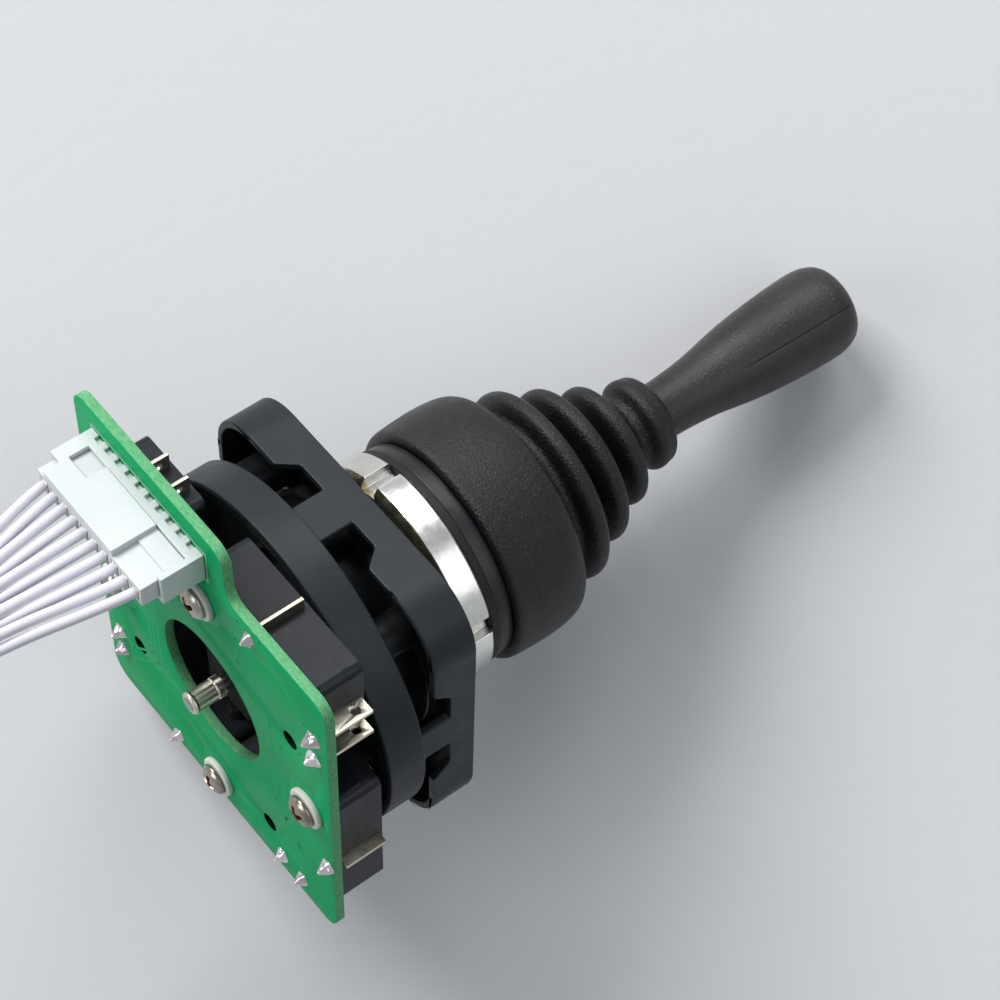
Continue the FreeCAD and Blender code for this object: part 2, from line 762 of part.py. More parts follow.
def make_terminals():
    """Blade terminals: one common blade on each switch's outer face and two on its end."""
    outer = size("switch_outer")
    far = size("switch_long") - size("switch_hole_inset")
    side = size("switch_side")
    cavity_end = outer - size("switch_tall") + side + size("switch_cavity")
    thin = size("blade_thick") / 2
    bottom = board_front + 0.4
    top = bottom + size("blade_wide")
    stem_low = board_front + size("blade_stem_low")
    stem_high = stem_low + size("blade_stem_wide")
    pin_low = board_front - size("pin_long")
    half_pin = size("pin_wide") / 2
    common = size("common_side")

    def common_blade(name):
        stem = block(name + "_stem", cavity_end - 0.5, outer, common - thin, common + thin, stem_low, stem_high)
        lug = block(name + "_lug", outer, outer + size("blade_lug"), common - thin, common + thin, bottom, top)
        pin = block(name + "_pin", outer - half_pin, outer + half_pin, common - thin, common + thin, pin_low, board_front)
        foot = block(name + "_foot", outer, outer + half_pin, common - thin, common + thin, board_front, bottom)
        return fuse(name, stem, lug, pin, foot)

    def throw_blade(name, at):
        reach = size("throw_reach")
        middle = far + reach / 2
        stem = block(name + "_stem", at - thin, at + thin, far - side - 0.5, far, stem_low, stem_high)
        lug = block(name + "_lug", at - thin, at + thin, far, far + reach, bottom, top)
        hole = cross_rod(name + "_eye", size("pin_wide") * 0.7, at - 1, at + 1, middle, top - 2)
        pin = block(name + "_pin", at - thin, at + thin, middle - half_pin, middle + half_pin, pin_low, bottom)
        return cut(name, fuse(name + "_solid", stem, lug, pin), hole)

    def throw_pair(name):
        blades = [throw_blade("%s_%s" % (name, which), size(which)) for which in ("throw_low", "throw_high")]
        return group(name, blades)

    node("common_terminals", group("common_terminals", around("common_terminal", common_blade)))
    node("throw_terminals", group("throw_terminals", around("throw_terminal", throw_pair)))


def make_solder():
    """A cone of solder round each pin, on the board's far side from the pin's part."""
    outer = size("switch_outer")
    end = size("switch_long") - size("switch_hole_inset") + size("throw_reach") / 2
    foot, tall = size("pin_hole") + 0.45, size("pin_wide")
    slim, thin = size("pin_wide") / 2, size("blade_thick") / 2

    def cone(name, x, y, leg_x, leg_y):
        obj = doc.addObject("Part::Cone", name + "_cone")
        bind(obj, "Radius1", foot * 0.55)
        bind(obj, "Radius2", foot)
        bind(obj, "Height", tall)
        place(obj, x, y, board_back - tall)
        pin = block(name + "_pin", x - leg_x, x + leg_x, y - leg_y, y + leg_y, board_back - tall - 1, board_back + 1)
        return cut(name, obj, pin)

    def side_cones(name):
        made = [cone(name + "_c", outer, size("common_side"), slim, thin)]
        for which in ("throw_low", "throw_high"):
            made.append(cone("%s_%s" % (name, which), size(which), end, thin, slim))
        return group(name, made)

    joints = around("solder", side_cones)
    half = size("header_pin") / 2
    for i in range(10):
        obj = doc.addObject("Part::Cone", "pin_solder_cone_%d" % i)
        bind(obj, "Radius1", foot * 0.8)
        bind(obj, "Radius2", foot * 0.45)
        bind(obj, "Height", tall)
        place(obj, pin_x(i), pin_row, board_front)
        pin = block("pin_solder_pin_%d" % i, pin_x(i) - half, pin_x(i) + half, pin_row - half, pin_row + half,
                    board_front - 1, board_front + tall + 1)
        joints.append(cut("pin_solder_%d" % i, obj, pin))
    node("solder_joints", group("solder_joints", joints))


def make_connector():
    """Ten-way header on the board, its pins, the plug with its contacts."""
    wall, fit = size("header_wall"), size("plug_fit")
    middle = pin_x(4.5)
    x0, x1 = middle - size("header_long") / 2, middle + size("header_long") / 2
    y0 = pin_row - size("header_deep") / 2 - size("header_offset")
    y1 = y0 + size("header_deep")
    floor = board_back - size("header_floor")
    rear = board_back - size("header_tall")
    body = block("header_body", x0, x1, y0, y1, rear, board_back)
    hollow = block("header_hollow", x0 + wall, x1 - wall, y0 + wall, y1 - wall, rear - 1, floor)
    open_left, open_right = x0 + size("header_left_cap"), x1 - size("header_right_cap")
    strip = board_back - size("header_strip")
    windows = [block("header_window", open_left, open_right, y0 - 1, y0 + wall + 0.5, rear - 1, strip)]
    half = size("header_pin") / 2
    row_at = pin_row
    foot_notches = [
        block("header_notch_%d" % i, pin_x(i) - 0.6, pin_x(i) + 0.6, y0 - 1, y0 + 0.6, board_back - 0.9, board_back + 1)
        for i in range(10)
    ]
    pin_holes = [
        block("header_pin_hole_%d" % i, pin_x(i) - half, pin_x(i) + half, row_at - half, row_at + half,
              floor - 1, board_back + 1)
        for i in range(10)
    ]
    node("pin_header", cut("pin_header", body, hollow, *windows, *foot_notches, *pin_holes))
    pins = [
        block("header_pin_%d" % i, pin_x(i) - half, pin_x(i) + half, row_at - half, row_at + half,
              rear + 0.6, board_front + size("pin_wide") + 0.3)
        for i in range(10)
    ]
    node("header_pins", group("header_pins", pins))
    end = plug_rear
    top = floor - fit
    plug = block("plug_core", x0 + wall + fit, x1 - wall - fit, y0 + wall + fit, y1 - wall - fit, end, top)
    proud, root = y0 - size("plug_proud"), y0 + wall + fit + 0.3
    block_left = x0 + size("plug_block_start")
    block_right = block_left + size("plug_block_long")
    ledge = board_back - size("plug_step")
    faces = [
        block("plug_block", block_left, block_right, proud, root, end, strip - fit),
        block("plug_wing", open_left + fit, block_left, proud, root, end, ledge),
        block("plug_low_face", block_right, open_right - fit, y0 + size("plug_low_face"), root, ledge, strip - fit),
    ]
    cw, cd, cf = size("contact_wide") / 2, size("contact_deep") / 2, size("contact_fit")
    cells = [
        block("plug_cell_%d" % i, pin_x(i) - cw - cf, pin_x(i) + cw + cf, row_at - cd - cf, row_at + cd + cf,
              end - 1, top + 1)
        for i in range(10)
    ]
    node("plug_housing", cut("plug_housing", fuse("plug_solid", plug, *faces), *cells))
    contacts = []
    for i in range(10):
        shell = block("contact_shell_%d" % i, pin_x(i) - cw, pin_x(i) + cw, row_at - cd, row_at + cd, end, top)
        bore = block("contact_bore_%d" % i, pin_x(i) - half - 0.05, pin_x(i) + half + 0.05,
                     row_at - half - 0.05, row_at + half + 0.05, rear + 0.3, top + 1)
        contacts.append(cut("contact_%d" % i, shell, bore))
    node("crimp_contacts", group("crimp_contacts", contacts))


def tube_along(points, radius, label):
    """A tube on straight runs joined by tangent arcs, with each arc as large as its runs allow."""
    edges, radii = [], []
    here = points[0]
    for i in range(1, len(points) - 1):
        before, after = points[i] - points[i - 1], points[i + 1] - points[i]
        turn = before.getAngle(after)
        shorter = min(before.Length, after.Length)
        reach = 0.45 * shorter
        radii.append(reach / math.tan(turn / 2))
        back = V(before).normalize() * reach
        ahead = V(after).normalize() * reach
        start, stop = points[i] - back, points[i] + ahead
        inward = (V(ahead) - V(back)).normalize()
        sag = radii[-1] * (1 / math.cos(turn / 2) - 1)
        edges.append(Part.LineSegment(here, start).toShape())
        edges.append(Part.Arc(start, points[i] + inward * sag, stop).toShape())
        here = stop
    edges.append(Part.LineSegment(here, points[-1]).toShape())
    path = Part.Wire(edges)
    circle = Part.Wire([Part.Circle(points[0], points[1] - points[0], radius).toShape()])
    tube = path.makePipeShell([circle], True, False)
    wanted = math.pi * radius * radius * path.Length
    print("%s: length %.1f, least radius %.1f, volume %.4f of its section" % (
        label, path.Length, min(radii), tube.Volume / wanted))
    return tube


def make_wires():
    radius = size("wire_radius").value
    tip, long = size("tip_radius").value, size("tip_long").value
    tips = []
    for i, route in enumerate(WIRE_ROUTES):
        name = "wire_%02d" % (i + 1)
        first = V(pin_x(i).value, pin_row.value, plug_rear.value) - V(*route[0])
        route = [V(*point) + first for point in route]
        node(name, solid_feature(name, tube_along(route, radius, name)))
        last, before = route[-1], route[-2]
        tips.append(solid_feature("tip_%02d" % (i + 1), Part.makeCylinder(tip, long, last, last - before)))
    node("tinned_ends", group("tinned_ends", tips))


def make_gimbal():
    """Gimbal ring on two pins along X, with a bore along Y for the lever's cross pin."""
    half = size("gimbal_tall") / 2
    radius, bore = size("gimbal_radius"), size("gimbal_bore")
    ring = cut(
        "gimbal_blank",
        rod("gimbal_outer", radius, pivot - half, pivot + half),
        rod("gimbal_inner", bore, pivot - half - 1, pivot + half + 1),
    )
    pin = size("gimbal_pin")
    seats = cross_rod("gimbal_seats", pin, -radius - 1, radius + 1, 0, pivot)
    bores = cross_rod("gimbal_bores", pin + size("pivot_fit"), -radius - 1, radius + 1, 0, pivot, along="y")
    node("gimbal_ring", cut("gimbal_ring", ring, seats, bores))
    start, end = bore + 0.4, size("gimbal_pin_end")
    pins = [cross_rod("gimbal_pin_a", pin, start, end, 0, pivot),
            cross_rod("gimbal_pin_b", pin, -end, -start, 0, pivot)]
    node("gimbal_pins", group("gimbal_pins", pins))


def make_lever():
    """Lever rod with its pivot hub, cross pin, grip, actuator and tail ferrule."""
    hub, slim = size("hub_radius"), size("rod_radius")
    half = size("hub_tall") / 2
    tail = size("tail_radius")
    base = -size("tail_drop")
    step = -size("tail_step")
    edge = slim * 0.6
    profile = [
        (0.0, 0.0),
        (tail, 0.0),
        (tail, step - base),
        (slim, step - base),
        (slim, pivot - half - base),
        (hub - edge, pivot - half - base),
        (hub, pivot - half + edge - base),
        (hub, pivot + half - edge - base),
        (hub - edge, pivot + half - base),
        (slim, pivot + half - base),
        (slim, size("rod_top") - base),
        (0.0, size("rod_top") - base),
    ]
    body = place(turned_piece("rod_body", profile), z=base)
    pin = size("gimbal_pin")
    bore = cross_rod("hub_bore", pin, -hub - 1, hub + 1, 0, pivot, along="y")
    node("lever_rod", cut("lever_rod", body, bore))
    reach = size("gimbal_radius") - 0.2
    node("lever_pin", cross_rod("lever_pin", pin, -reach, reach, 0, pivot, along="y"))

    cam, cam_edge = size("cam_half"), size("cam_edge")
    cam_low = -size("cam_drop") - size("cam_tall") / 2
    cam_high = cam_low + size("cam_tall")
    block_body = flat_piece("cam_block", rectangle(-cam, cam, -cam, cam), size("cam_tall"))
    round_upright_edges(block_body, size("cam_corner"))
    solid = block_body.Tip
    flat = ["Edge%d" % i for i, e in enumerate(solid.Shape.Edges, start=1) if e.BoundBox.ZLength < 1e-6]
    rims = block_body.newObject("PartDesign::Chamfer", "cam_rims")
    rims.Base = (solid, flat)
    bind(rims, "Size", cam_edge)
    block_body.Tip = rims
    doc.recompute()
    place(block_body, z=cam_low)
    hole = rod("cam_bore", tail, cam_low - 1, cam_high + 1)
    node("actuator_cam", cut("actuator_cam", block_body, hole))

    outer, long = size("ferrule_radius"), size("ferrule_long")
    blank = rod("ferrule_blank", outer, base, base + long)
    flat_at = size("ferrule_flat")
    flats = []
    for k in range(2):
        side = block("ferrule_flat_%d" % k, flat_at, outer + 1, -outer, outer, base - 1, base + long * 0.6)
        flats.append(group("ferrule_flat_turned_%d" % k, [side]))
        flats[-1].Placement = FreeCAD.Placement(V(), FreeCAD.Rotation(Z_AXIS, 45 + 180 * k))
    bore = rod("ferrule_bore", tail, base - 1, base + long + 1)
    node("tail_ferrule", cut("tail_ferrule", blank, bore, *flats))


def make_grip():
    """Moulded grip: a slim neck that swells to a domed head."""
    bottom = size("grip_bottom")
    neck, waist, head = size("grip_neck").value, size("grip_waist").value, size("grip_head").value
    z_neck = (size("grip_neck_top") - bottom).value
    z_waist = (size("grip_waist_top") - bottom).value
    z_head = (size("grip_head_top") - bottom).value
    z_top = (size("grip_top") - bottom).value
    bore = size("rod_radius").value
    z_bore = (size("rod_top") - bottom).value
    side = Part.BSplineCurve()
    side.interpolate([V(neck, 0, z_neck), V(waist, 0, z_waist), V(head, 0, z_head)],
                     InitialTangent=V(0.06, 0, 1), FinalTangent=V(0.02, 0, 1))
    shoulder = (z_top - z_head) * 0.72
    gate = V(size("grip_gate").value, 0, z_top)
    dome = Part.Arc(V(head, 0, z_head), V(head * 0.74, 0, z_head + shoulder), gate)
    straight = [gate, V(0, 0, z_top), V(0, 0, z_bore), V(bore, 0, z_bore), V(bore, 0, 0), V(neck, 0, 0), V(neck, 0, z_neck)]
    edges = [side.toShape(), dome.toShape()]
    edges += [Part.LineSegment(a, b).toShape() for a, b in zip(straight, straight[1:])]
    face = Part.Face(Part.Wire(Part.__sortEdges__(edges)))
    shape = face.revolve(V(), Z_AXIS, 360)
    grip = place(solid_feature("grip_solid", shape), z=bottom)
    node("handle_grip", grip)


def make_return_spring():
    """Centring spring on the rod, between a cup that seats in the collar and a washer under a clip."""
    thick, lip = size("cup_thick"), size("cup_lip")
    seat = cup_seat
    plate = rod("cup_plate", size("cup_radius"), seat, seat + thick)
    rim = cut(
        "cup_rim",
        rod("cup_rim_outer", size("cup_bore") + size("cup_lip_wall"), seat, seat + thick + lip),
        rod("cup_rim_inner", size("cup_bore"), seat - 1, seat + thick + lip + 1),
    )
    hole = rod("cup_hole", size("cup_bore"), seat - 1, seat + thick + 1)
    node("spring_cup", fuse("spring_cup", cut("cup_disc", plate, hole), rim))
    wire, gap = size("spring_wire").value, size("spring_seat_gap").value
    radius, tall = size("spring_radius").value + wire, size("spring_tall").value
    low = (seat + thick).value + wire + gap
    helix = Part.makeHelix((tall - 2 * wire) / size("spring_turns").value, tall - 2 * wire, radius)
    start = Part.Wire([Part.Circle(V(radius, 0, 0), V(0, 1, 0), wire).toShape()])
    coil = Part.Wire(helix).makePipeShell([start], True, True)
    coil.translate(V(0, 0, low))
    node("return_spring", solid_feature("return_spring", coil))
    top = seat + thick + size("spring_tall") + size("spring_seat_gap") * 2
    slim = size("rod_radius")
    hat = rod("hat_disc", size("washer_hat_radius"), top, top + size("washer_hat_thick"))
    hat_hole = rod("hat_hole", slim, top - 1, top + size("washer_hat_thick") + 1)
    node("spring_washer", cut("spring_washer", hat, hat_hole))
    clip_low = top + size("washer_hat_thick")
    clip = rod("clip_disc", size("clip_radius"), clip_low, clip_low + size("clip_thick"))
    clip_hole = rod("clip_hole", slim, clip_low - 1, clip_low + size("clip_thick") + 1)
    gap_block = block("clip_gap", 0, size("clip_radius") + 1, -slim * 0.7, slim * 0.7,
                      clip_low - 1, clip_low + size("clip_thick") + 1)
    node("retaining_clip", cut("retaining_clip", clip, clip_hole, gap_block))


def make_boot():
    """Rubber boot: a rounded skirt over the collar, then four bellows folds and a lip round the grip."""
    wall = size("boot_wall").value
    inner = (size("collar_radius") + size("boot_fit")).value
    outer, bulge = size("boot_radius").value, size("boot_bulge").value
    z0, z1 = bezel_front.value, size("boot_body_top").value
    crests = []
    for i in range(4):
        crests.append((size("crest_radius_first").value - size("crest_radius_step").value * i,
                       size("crest_first").value + size("crest_pitch").value * i))
    crest = size("crest_round").value
    top, lip = size("boot_top").value, size("boot_lip").value
    hole = (size("grip_neck") + size("boot_fit")).value
    shoulder = size("boot_shoulder").value

    def skin(offset, skirt, start, crest_size):
        """The outer or inner side of the bellows as (radius, height) stations."""
        line = [(skirt, start)]
        for radius, height in crests:
            line.append((radius - crest_size * 0.55 - offset, height - crest * 1.5))
            line.append((radius - offset, height))
        return line

    edges = []
    outside = [V(outer - 0.9, 0, z0), V(outer, 0, z0 + 1.0)]
    edges.append(Part.LineSegment(V(inner, 0, z0), outside[0]).toShape())
    edges.append(Part.Arc(outside[0], V(outer - 0.25, 0, z0 + 0.3), outside[1]).toShape())
    body_top = V(outer - 0.1, 0, z1 - shoulder)
    edges.append(Part.Arc(outside[1], V(outer + bulge, 0, (z0 + z1) / 2), body_top).toShape())
    edge_top = V(outer - shoulder, 0, z1 + 0.4)
    edges.append(Part.Arc(body_top, V(outer - shoulder * 0.3, 0, z1 - shoulder * 0.3), edge_top).toShape())
    here = edge_top
    for i, (radius, height) in enumerate(crests):
        root = V(radius - crest * 0.75, 0, height - crest * 1.45)
        edges.append(Part.LineSegment(here, root).toShape())
        crest_end = V(radius - crest * 1.1, 0, height + crest * 0.72)
        edges.append(Part.Arc(root, V(radius, 0, height - crest * 0.25), crest_end).toShape())
        here = crest_end
    neck = V(lip, 0, top - 1.2)
    edges.append(Part.LineSegment(here, neck).toShape())
    edges.append(Part.LineSegment(neck, V(lip, 0, top)).toShape())
    edges.append(Part.LineSegment(V(lip, 0, top), V(hole, 0, top)).toShape())
    inside = [V(hole, 0, top), V(hole, 0, top - 2.4)]
    for radius, height in reversed(crests):
        inside.append(V(max(radius - crest * 1.1 - wall * 0.8, hole), 0, height + crest * 0.3))
        inside.append(V(max(radius - crest * 0.75 - wall, hole), 0, height - crest * 0.9))
    ceiling = z1 - wall
    inside += [V(inner - 0.9, 0, ceiling), V(inner, 0, ceiling - 0.9), V(inner, 0, z0)]
    tidy = [inside[0]]
    for p in inside[1:]:
        if (p - tidy[-1]).Length > 0.05:
            tidy.append(p)
    edges += [Part.LineSegment(a, b).toShape() for a, b in zip(tidy, tidy[1:])]
    face = Part.Face(Part.Wire(Part.__sortEdges__(edges)))
    node("boot", solid_feature("boot", face.revolve(V(), Z_AXIS, 360)))


make_barrel()
make_gasket()
make_ring_nut()
make_mounting_frame()
make_carrier()
make_screws()
make_board()
for k in range(4):
    make_switch(k)
make_terminals()
make_solder()
make_connector()
make_wires()
make_gimbal()
make_lever()
make_grip()
make_return_spring()
make_boot()
doc.recompute()

faults = [o.Name for o in doc.Objects if set(o.State) & {"Invalid", "Error"}]
for obj in NODES:
    if obj.Shape.isNull() or not obj.Shape.isValid() or not obj.Shape.Solids:
        faults.append(obj.Label)
if faults:
    raise SystemExit("failed objects: " + ", ".join(faults))
os.makedirs("parts", exist_ok=True)
for obj in NODES:
    obj.Shape.exportStep("parts/%s.step" % obj.Label)
    print("%-18s %2d solid(s) %10.2f mm3" % (obj.Label, len(obj.Shape.Solids), obj.Shape.Volume))
print("%d nodes" % len(NODES))
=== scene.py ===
import math

import bpy
from mathutils import Matrix, Vector, noise


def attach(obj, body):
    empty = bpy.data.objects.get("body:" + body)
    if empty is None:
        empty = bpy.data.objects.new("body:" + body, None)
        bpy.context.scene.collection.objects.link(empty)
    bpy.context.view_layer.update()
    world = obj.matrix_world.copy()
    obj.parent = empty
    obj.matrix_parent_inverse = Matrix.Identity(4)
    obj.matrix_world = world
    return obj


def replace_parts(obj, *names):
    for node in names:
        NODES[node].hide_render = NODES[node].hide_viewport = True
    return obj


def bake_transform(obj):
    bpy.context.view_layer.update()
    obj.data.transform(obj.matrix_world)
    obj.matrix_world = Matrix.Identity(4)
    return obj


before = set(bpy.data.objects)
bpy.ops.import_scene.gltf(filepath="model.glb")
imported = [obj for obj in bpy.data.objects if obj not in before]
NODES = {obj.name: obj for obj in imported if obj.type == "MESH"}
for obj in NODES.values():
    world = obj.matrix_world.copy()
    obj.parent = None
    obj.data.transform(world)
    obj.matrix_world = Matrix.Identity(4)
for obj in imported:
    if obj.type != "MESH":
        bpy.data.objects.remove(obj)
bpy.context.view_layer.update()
MM = 0.001
WELD_GAP = 0.000004
QUARTERS = [(math.cos(k * math.pi / 2), math.sin(k * math.pi / 2)) for k in range(4)]
scene = bpy.context.scene


def srgb(r, g, b):
    """A colour from 0-255 screen values."""
    lin = [c / 12.92 if c <= 0.04045 else ((c + 0.055) / 1.055) ** 2.4 for c in (r / 255, g / 255, b / 255)]
    return (lin[0], lin[1], lin[2], 1)


# Camera at the photograph's viewing angle
RIGHT = Vector((0.6166, -0.0218, 0.7870)).normalized()
AHEAD = Vector((-0.4495, 0.8109, 0.3746)).normalized()
UP = RIGHT.cross(AHEAD).normalized()
RIGHT = AHEAD.cross(UP).normalized()
EYE = Vector((0.1927, -0.3504, -0.1449))
cam_data = bpy.data.cameras.new("photo_camera")
cam_data.lens = 100.8
cam_data.sensor_width = 36
cam_data.clip_start = 0.01
camera = bpy.data.objects.new("photo_camera", cam_data)
scene.collection.objects.link(camera)
camera.matrix_world = Matrix((RIGHT, UP, -AHEAD)).transposed().to_4x4()
camera.matrix_world.translation = EYE
scene.camera = camera


class Finish:
    """A node material in the making: helpers add nodes and link them."""

    def __init__(self, name, color, rough=0.5, metal=0.0, **sockets):
        self.mat = bpy.data.materials.new(name)
        self.mat.use_nodes = True
        self.tree = self.mat.node_tree
        self.shader = self.tree.nodes["Principled BSDF"]
        self.shader.inputs["Base Color"].default_value = color
        self.shader.inputs["Roughness"].default_value = rough
        self.shader.inputs["Metallic"].default_value = metal
        for key, value in sockets.items():
            self.shader.inputs[key.replace("_", " ")].default_value = value
        self.coord = self.tree.nodes.new("ShaderNodeTexCoord").outputs["Object"]
        self.normal = None

    def new(self, kind, **props):
        made = self.tree.nodes.new(kind)
        for key, value in props.items():
            setattr(made, key, value)
        return made

    def put(self, socket, value):
        if isinstance(value, bpy.types.NodeSocket):
            self.tree.links.new(value, socket)
        else:
            socket.default_value = value

    def math(self, operation, a, b=0.0):
        made = self.new("ShaderNodeMath", operation=operation)
        for socket, value in zip(made.inputs, (a, b)):
            self.put(socket, value)
        return made.outputs[0]

    def noise(self, scale, detail=3.0, rough=0.5, stretch=None, warp=0.0):
        made = self.new("ShaderNodeTexNoise")
        made.inputs["Scale"].default_value = scale
        made.inputs["Detail"].default_value = detail
        made.inputs["Roughness"].default_value = rough
        made.inputs["Distortion"].default_value = warp
        self.put(made.inputs["Vector"], self.stretched(stretch) if stretch else self.coord)
        return made.outputs["Fac"]

    def cells(self, scale):
        made = self.new("ShaderNodeTexVoronoi")
        made.inputs["Scale"].default_value = scale
        self.put(made.inputs["Vector"], self.coord)
        return made.outputs["Distance"]

    def stretched(self, scale):
        made = self.new("ShaderNodeMapping")
        self.put(made.inputs["Vector"], self.coord)
        made.inputs["Scale"].default_value = scale
        return made.outputs[0]

    def spread(self, value, low, high, to_low=0.0, to_high=1.0):
        made = self.new("ShaderNodeMapRange", clamp=True)
        for key, number in (("Value", value), ("From Min", low), ("From Max", high), ("To Min", to_low),
                            ("To Max", to_high)):
            self.put(made.inputs[key], number)
        return made.outputs[0]

    def mix(self, amount, a, b):
        made = self.new("ShaderNodeMix", data_type="RGBA")
        self.put(made.inputs[0], amount)
        self.put(made.inputs[6], a)
        self.put(made.inputs[7], b)
        return made.outputs[2]

    def axes(self, vector=None):
        made = self.new("ShaderNodeSeparateXYZ")
        self.put(made.inputs[0], self.coord if vector is None else vector)
        return made.outputs

    def radius(self):
        """The distance from the Z axis."""
        x, y = self.axes()[0:2]
        return self.math("SQRT", self.math("ADD", self.math("MULTIPLY", x, x), self.math("MULTIPLY", y, y)))

    def base_color(self):
        """What feeds the base colour now."""
        return self.shader.inputs["Base Color"].links[0].from_socket

    def color(self, value):
        self.put(self.shader.inputs["Base Color"], value)

    def rough(self, value):
        self.put(self.shader.inputs["Roughness"], value)

    def bump(self, height, distance, strength=1.0):
        made = self.new("ShaderNodeBump")
        made.inputs["Distance"].default_value = distance
        made.inputs["Strength"].default_value = strength
        self.put(made.inputs["Height"], height)
        if self.normal is not None:
            self.put(made.inputs["Normal"], self.normal)
        self.normal = made.outputs[0]
        self.put(self.shader.inputs["Normal"], self.normal)


def moulded(name, color, lighter, rough, grain, depth, edge_lighter_colour=None, gloss=0.3, painted_glints=None, **sockets):
    """Moulded plastic or rubber: fine grain with painted glint specks, cloudy tone and sheen, and a lighter
    colour on sharp convex edges.
    """
    f = Finish(name, color, rough, Specular_IOR_Level=gloss, **sockets)
    cloud = f.noise(60, 4, 0.55)
    fine = f.noise(grain, 3, 0.65)
    pits = f.cells(grain * 0.55)
    tone = f.mix(f.spread(cloud, 0.4, 0.75, 0.0, 0.55), color, lighter)
    specks = f.spread(fine, 0.56, 0.74)
    tone = f.mix(f.math("MULTIPLY", specks, 0.5), tone, lighter)
    if painted_glints:
        # Painted glints: scattered lighter dots in the colour stand for highlights glinting off the grain
        glint_dots = f.spread(f.cells(3100), 0.16, 0.3, 1.0, 0.0)
        glint_patches = f.spread(f.noise(1300, 2, 0.5), 0.5, 0.62)
        glint_patches = f.math("MULTIPLY", glint_patches, f.spread(cloud, 0.35, 0.62, 0.25, 1.0))
        tone = f.mix(f.math("MULTIPLY", glint_dots, glint_patches), tone, painted_glints)
    if edge_lighter_colour:
        # Lighter colour on sharp convex edges, picked by pointiness and broken up by noise
        edge = f.new("ShaderNodeNewGeometry").outputs["Pointiness"]
        lighter_edge_mask = f.spread(edge, 0.53, 0.62, 0.0, 0.7)
        lighter_edge_mask = f.math("MULTIPLY", lighter_edge_mask, f.spread(f.noise(260, 4, 0.6), 0.42, 0.6))
        tone = f.mix(lighter_edge_mask, tone, edge_lighter_colour)
    f.color(tone)
    f.rough(f.spread(f.noise(190, 4, 0.6), 0.3, 0.7, rough - 0.07, rough + 0.09))
    f.bump(f.math("ADD", fine, f.math("MULTIPLY", pits, 0.6)), depth)
    f.bump(f.noise(55, 2, 0.5), 0.0001, 0.2)
    return f


def metal(name, color, tint, rough, tool_lines=None, depth=0.000006):
    """Plated or bright metal: fine tool lines round Z where turned, cloudy tarnish and small marks."""
    f = Finish(name, color, rough, 1.0)
    cloud = f.noise(120, 5, 0.65)
    f.color(f.mix(f.spread(cloud, 0.42, 0.72), color, tint))
    f.rough(f.spread(f.noise(600, 4, 0.7), 0.3, 0.75, rough - 0.05, rough + 0.12))
    if tool_lines:
        both = f.new("ShaderNodeCombineXYZ")
        f.put(both.inputs[0], f.math("MULTIPLY", f.radius(), tool_lines))
        f.put(both.inputs[1], f.math("MULTIPLY", f.axes()[2], tool_lines))
        lines = f.new("ShaderNodeTexNoise")
        lines.inputs["Scale"].default_value = 1.0
        lines.inputs["Detail"].default_value = 3.0
        f.put(lines.inputs["Vector"], both.outputs[0])
        f.bump(lines.outputs["Fac"], depth)
    f.bump(f.noise(900, 3, 0.6), depth * 2, 0.5)
    return f


# Finishes, one for each slot of the record
M = {}
M["housing"] = moulded("frame_plastic", srgb(31, 36, 40), srgb(40, 45, 50), 0.42, 3400, 0.000014, gloss=0.22)
M["switch"] = moulded("switch_plastic", srgb(24, 27, 32), srgb(31, 35, 41), 0.32, 4200, 0.00001, gloss=0.2)
# The boot and the grip carry painted glints, lighter specks that stand for highlights on their grain
M["boot"] = moulded("boot_rubber", srgb(8, 10, 12), srgb(20, 24, 26), 0.36, 4200, 0.00012, gloss=0.32,
                    painted_glints=srgb(78, 84, 87))
M["grip"] = moulded("grip_plastic", srgb(27, 24, 24), srgb(50, 46, 46), 0.34, 4600, 0.00006, gloss=0.4,
                    painted_glints=srgb(84, 80, 80))
M["cam"] = moulded("cam_acetal", srgb(9, 9, 10), srgb(14, 14, 15), 0.6, 2600, 0.000012, gloss=0.06)
M["gasket"] = moulded("gasket_rubber", srgb(15, 16, 17), srgb(24, 26, 27), 0.55, 2800, 0.00003)
M["plunger"] = moulded("black_acetal", srgb(16, 16, 17), srgb(26, 26, 27), 0.34, 2600, 0.000008)
M["barrel"] = moulded("black_plate", srgb(28, 30, 32), srgb(40, 42, 45), 0.34, 2200, 0.000012,
                      edge_lighter_colour=srgb(88, 88, 86))
M["nut"] = metal("nickel_turned", srgb(228, 228, 225), srgb(206, 202, 192), 0.2, tool_lines=9000)
M["screw"] = metal("passivated_steel", srgb(172, 168, 160), srgb(118, 100, 80), 0.2, depth=0.00002)
M["recess"] = metal("recess_stain", srgb(74, 62, 52), srgb(150, 84, 40), 0.34, depth=0.00003)
M["terminal"] = metal("tinned_brass", srgb(206, 201, 187), srgb(168, 158, 132), 0.3, depth=0.00003)
M["solder"] = metal("tin_solder", srgb(228, 220, 222), srgb(150, 138, 142), 0.18, depth=0.00014)
M["contact"] = metal("nickel_bronze", srgb(212, 208, 194), srgb(168, 160, 140), 0.32, depth=0.00003)
M["steel"] = metal("turned_steel", srgb(150, 150, 150), srgb(112, 110, 106), 0.32, tool_lines=7000)
M["spring"] = metal("spring_steel", srgb(165, 165, 165), srgb(120, 116, 110), 0.3)
M["washer"] = moulded("nylon", srgb(196, 199, 194), srgb(212, 214, 210), 0.4, 2600, 0.000008,
                      Subsurface_Weight=0.35, Subsurface_Scale=0.002)
M["connector"] = moulded("white_nylon", srgb(190, 196, 198), srgb(214, 217, 219), 0.38, 2600, 0.000008,
                         Subsurface_Weight=0.1, Subsurface_Scale=0.001)
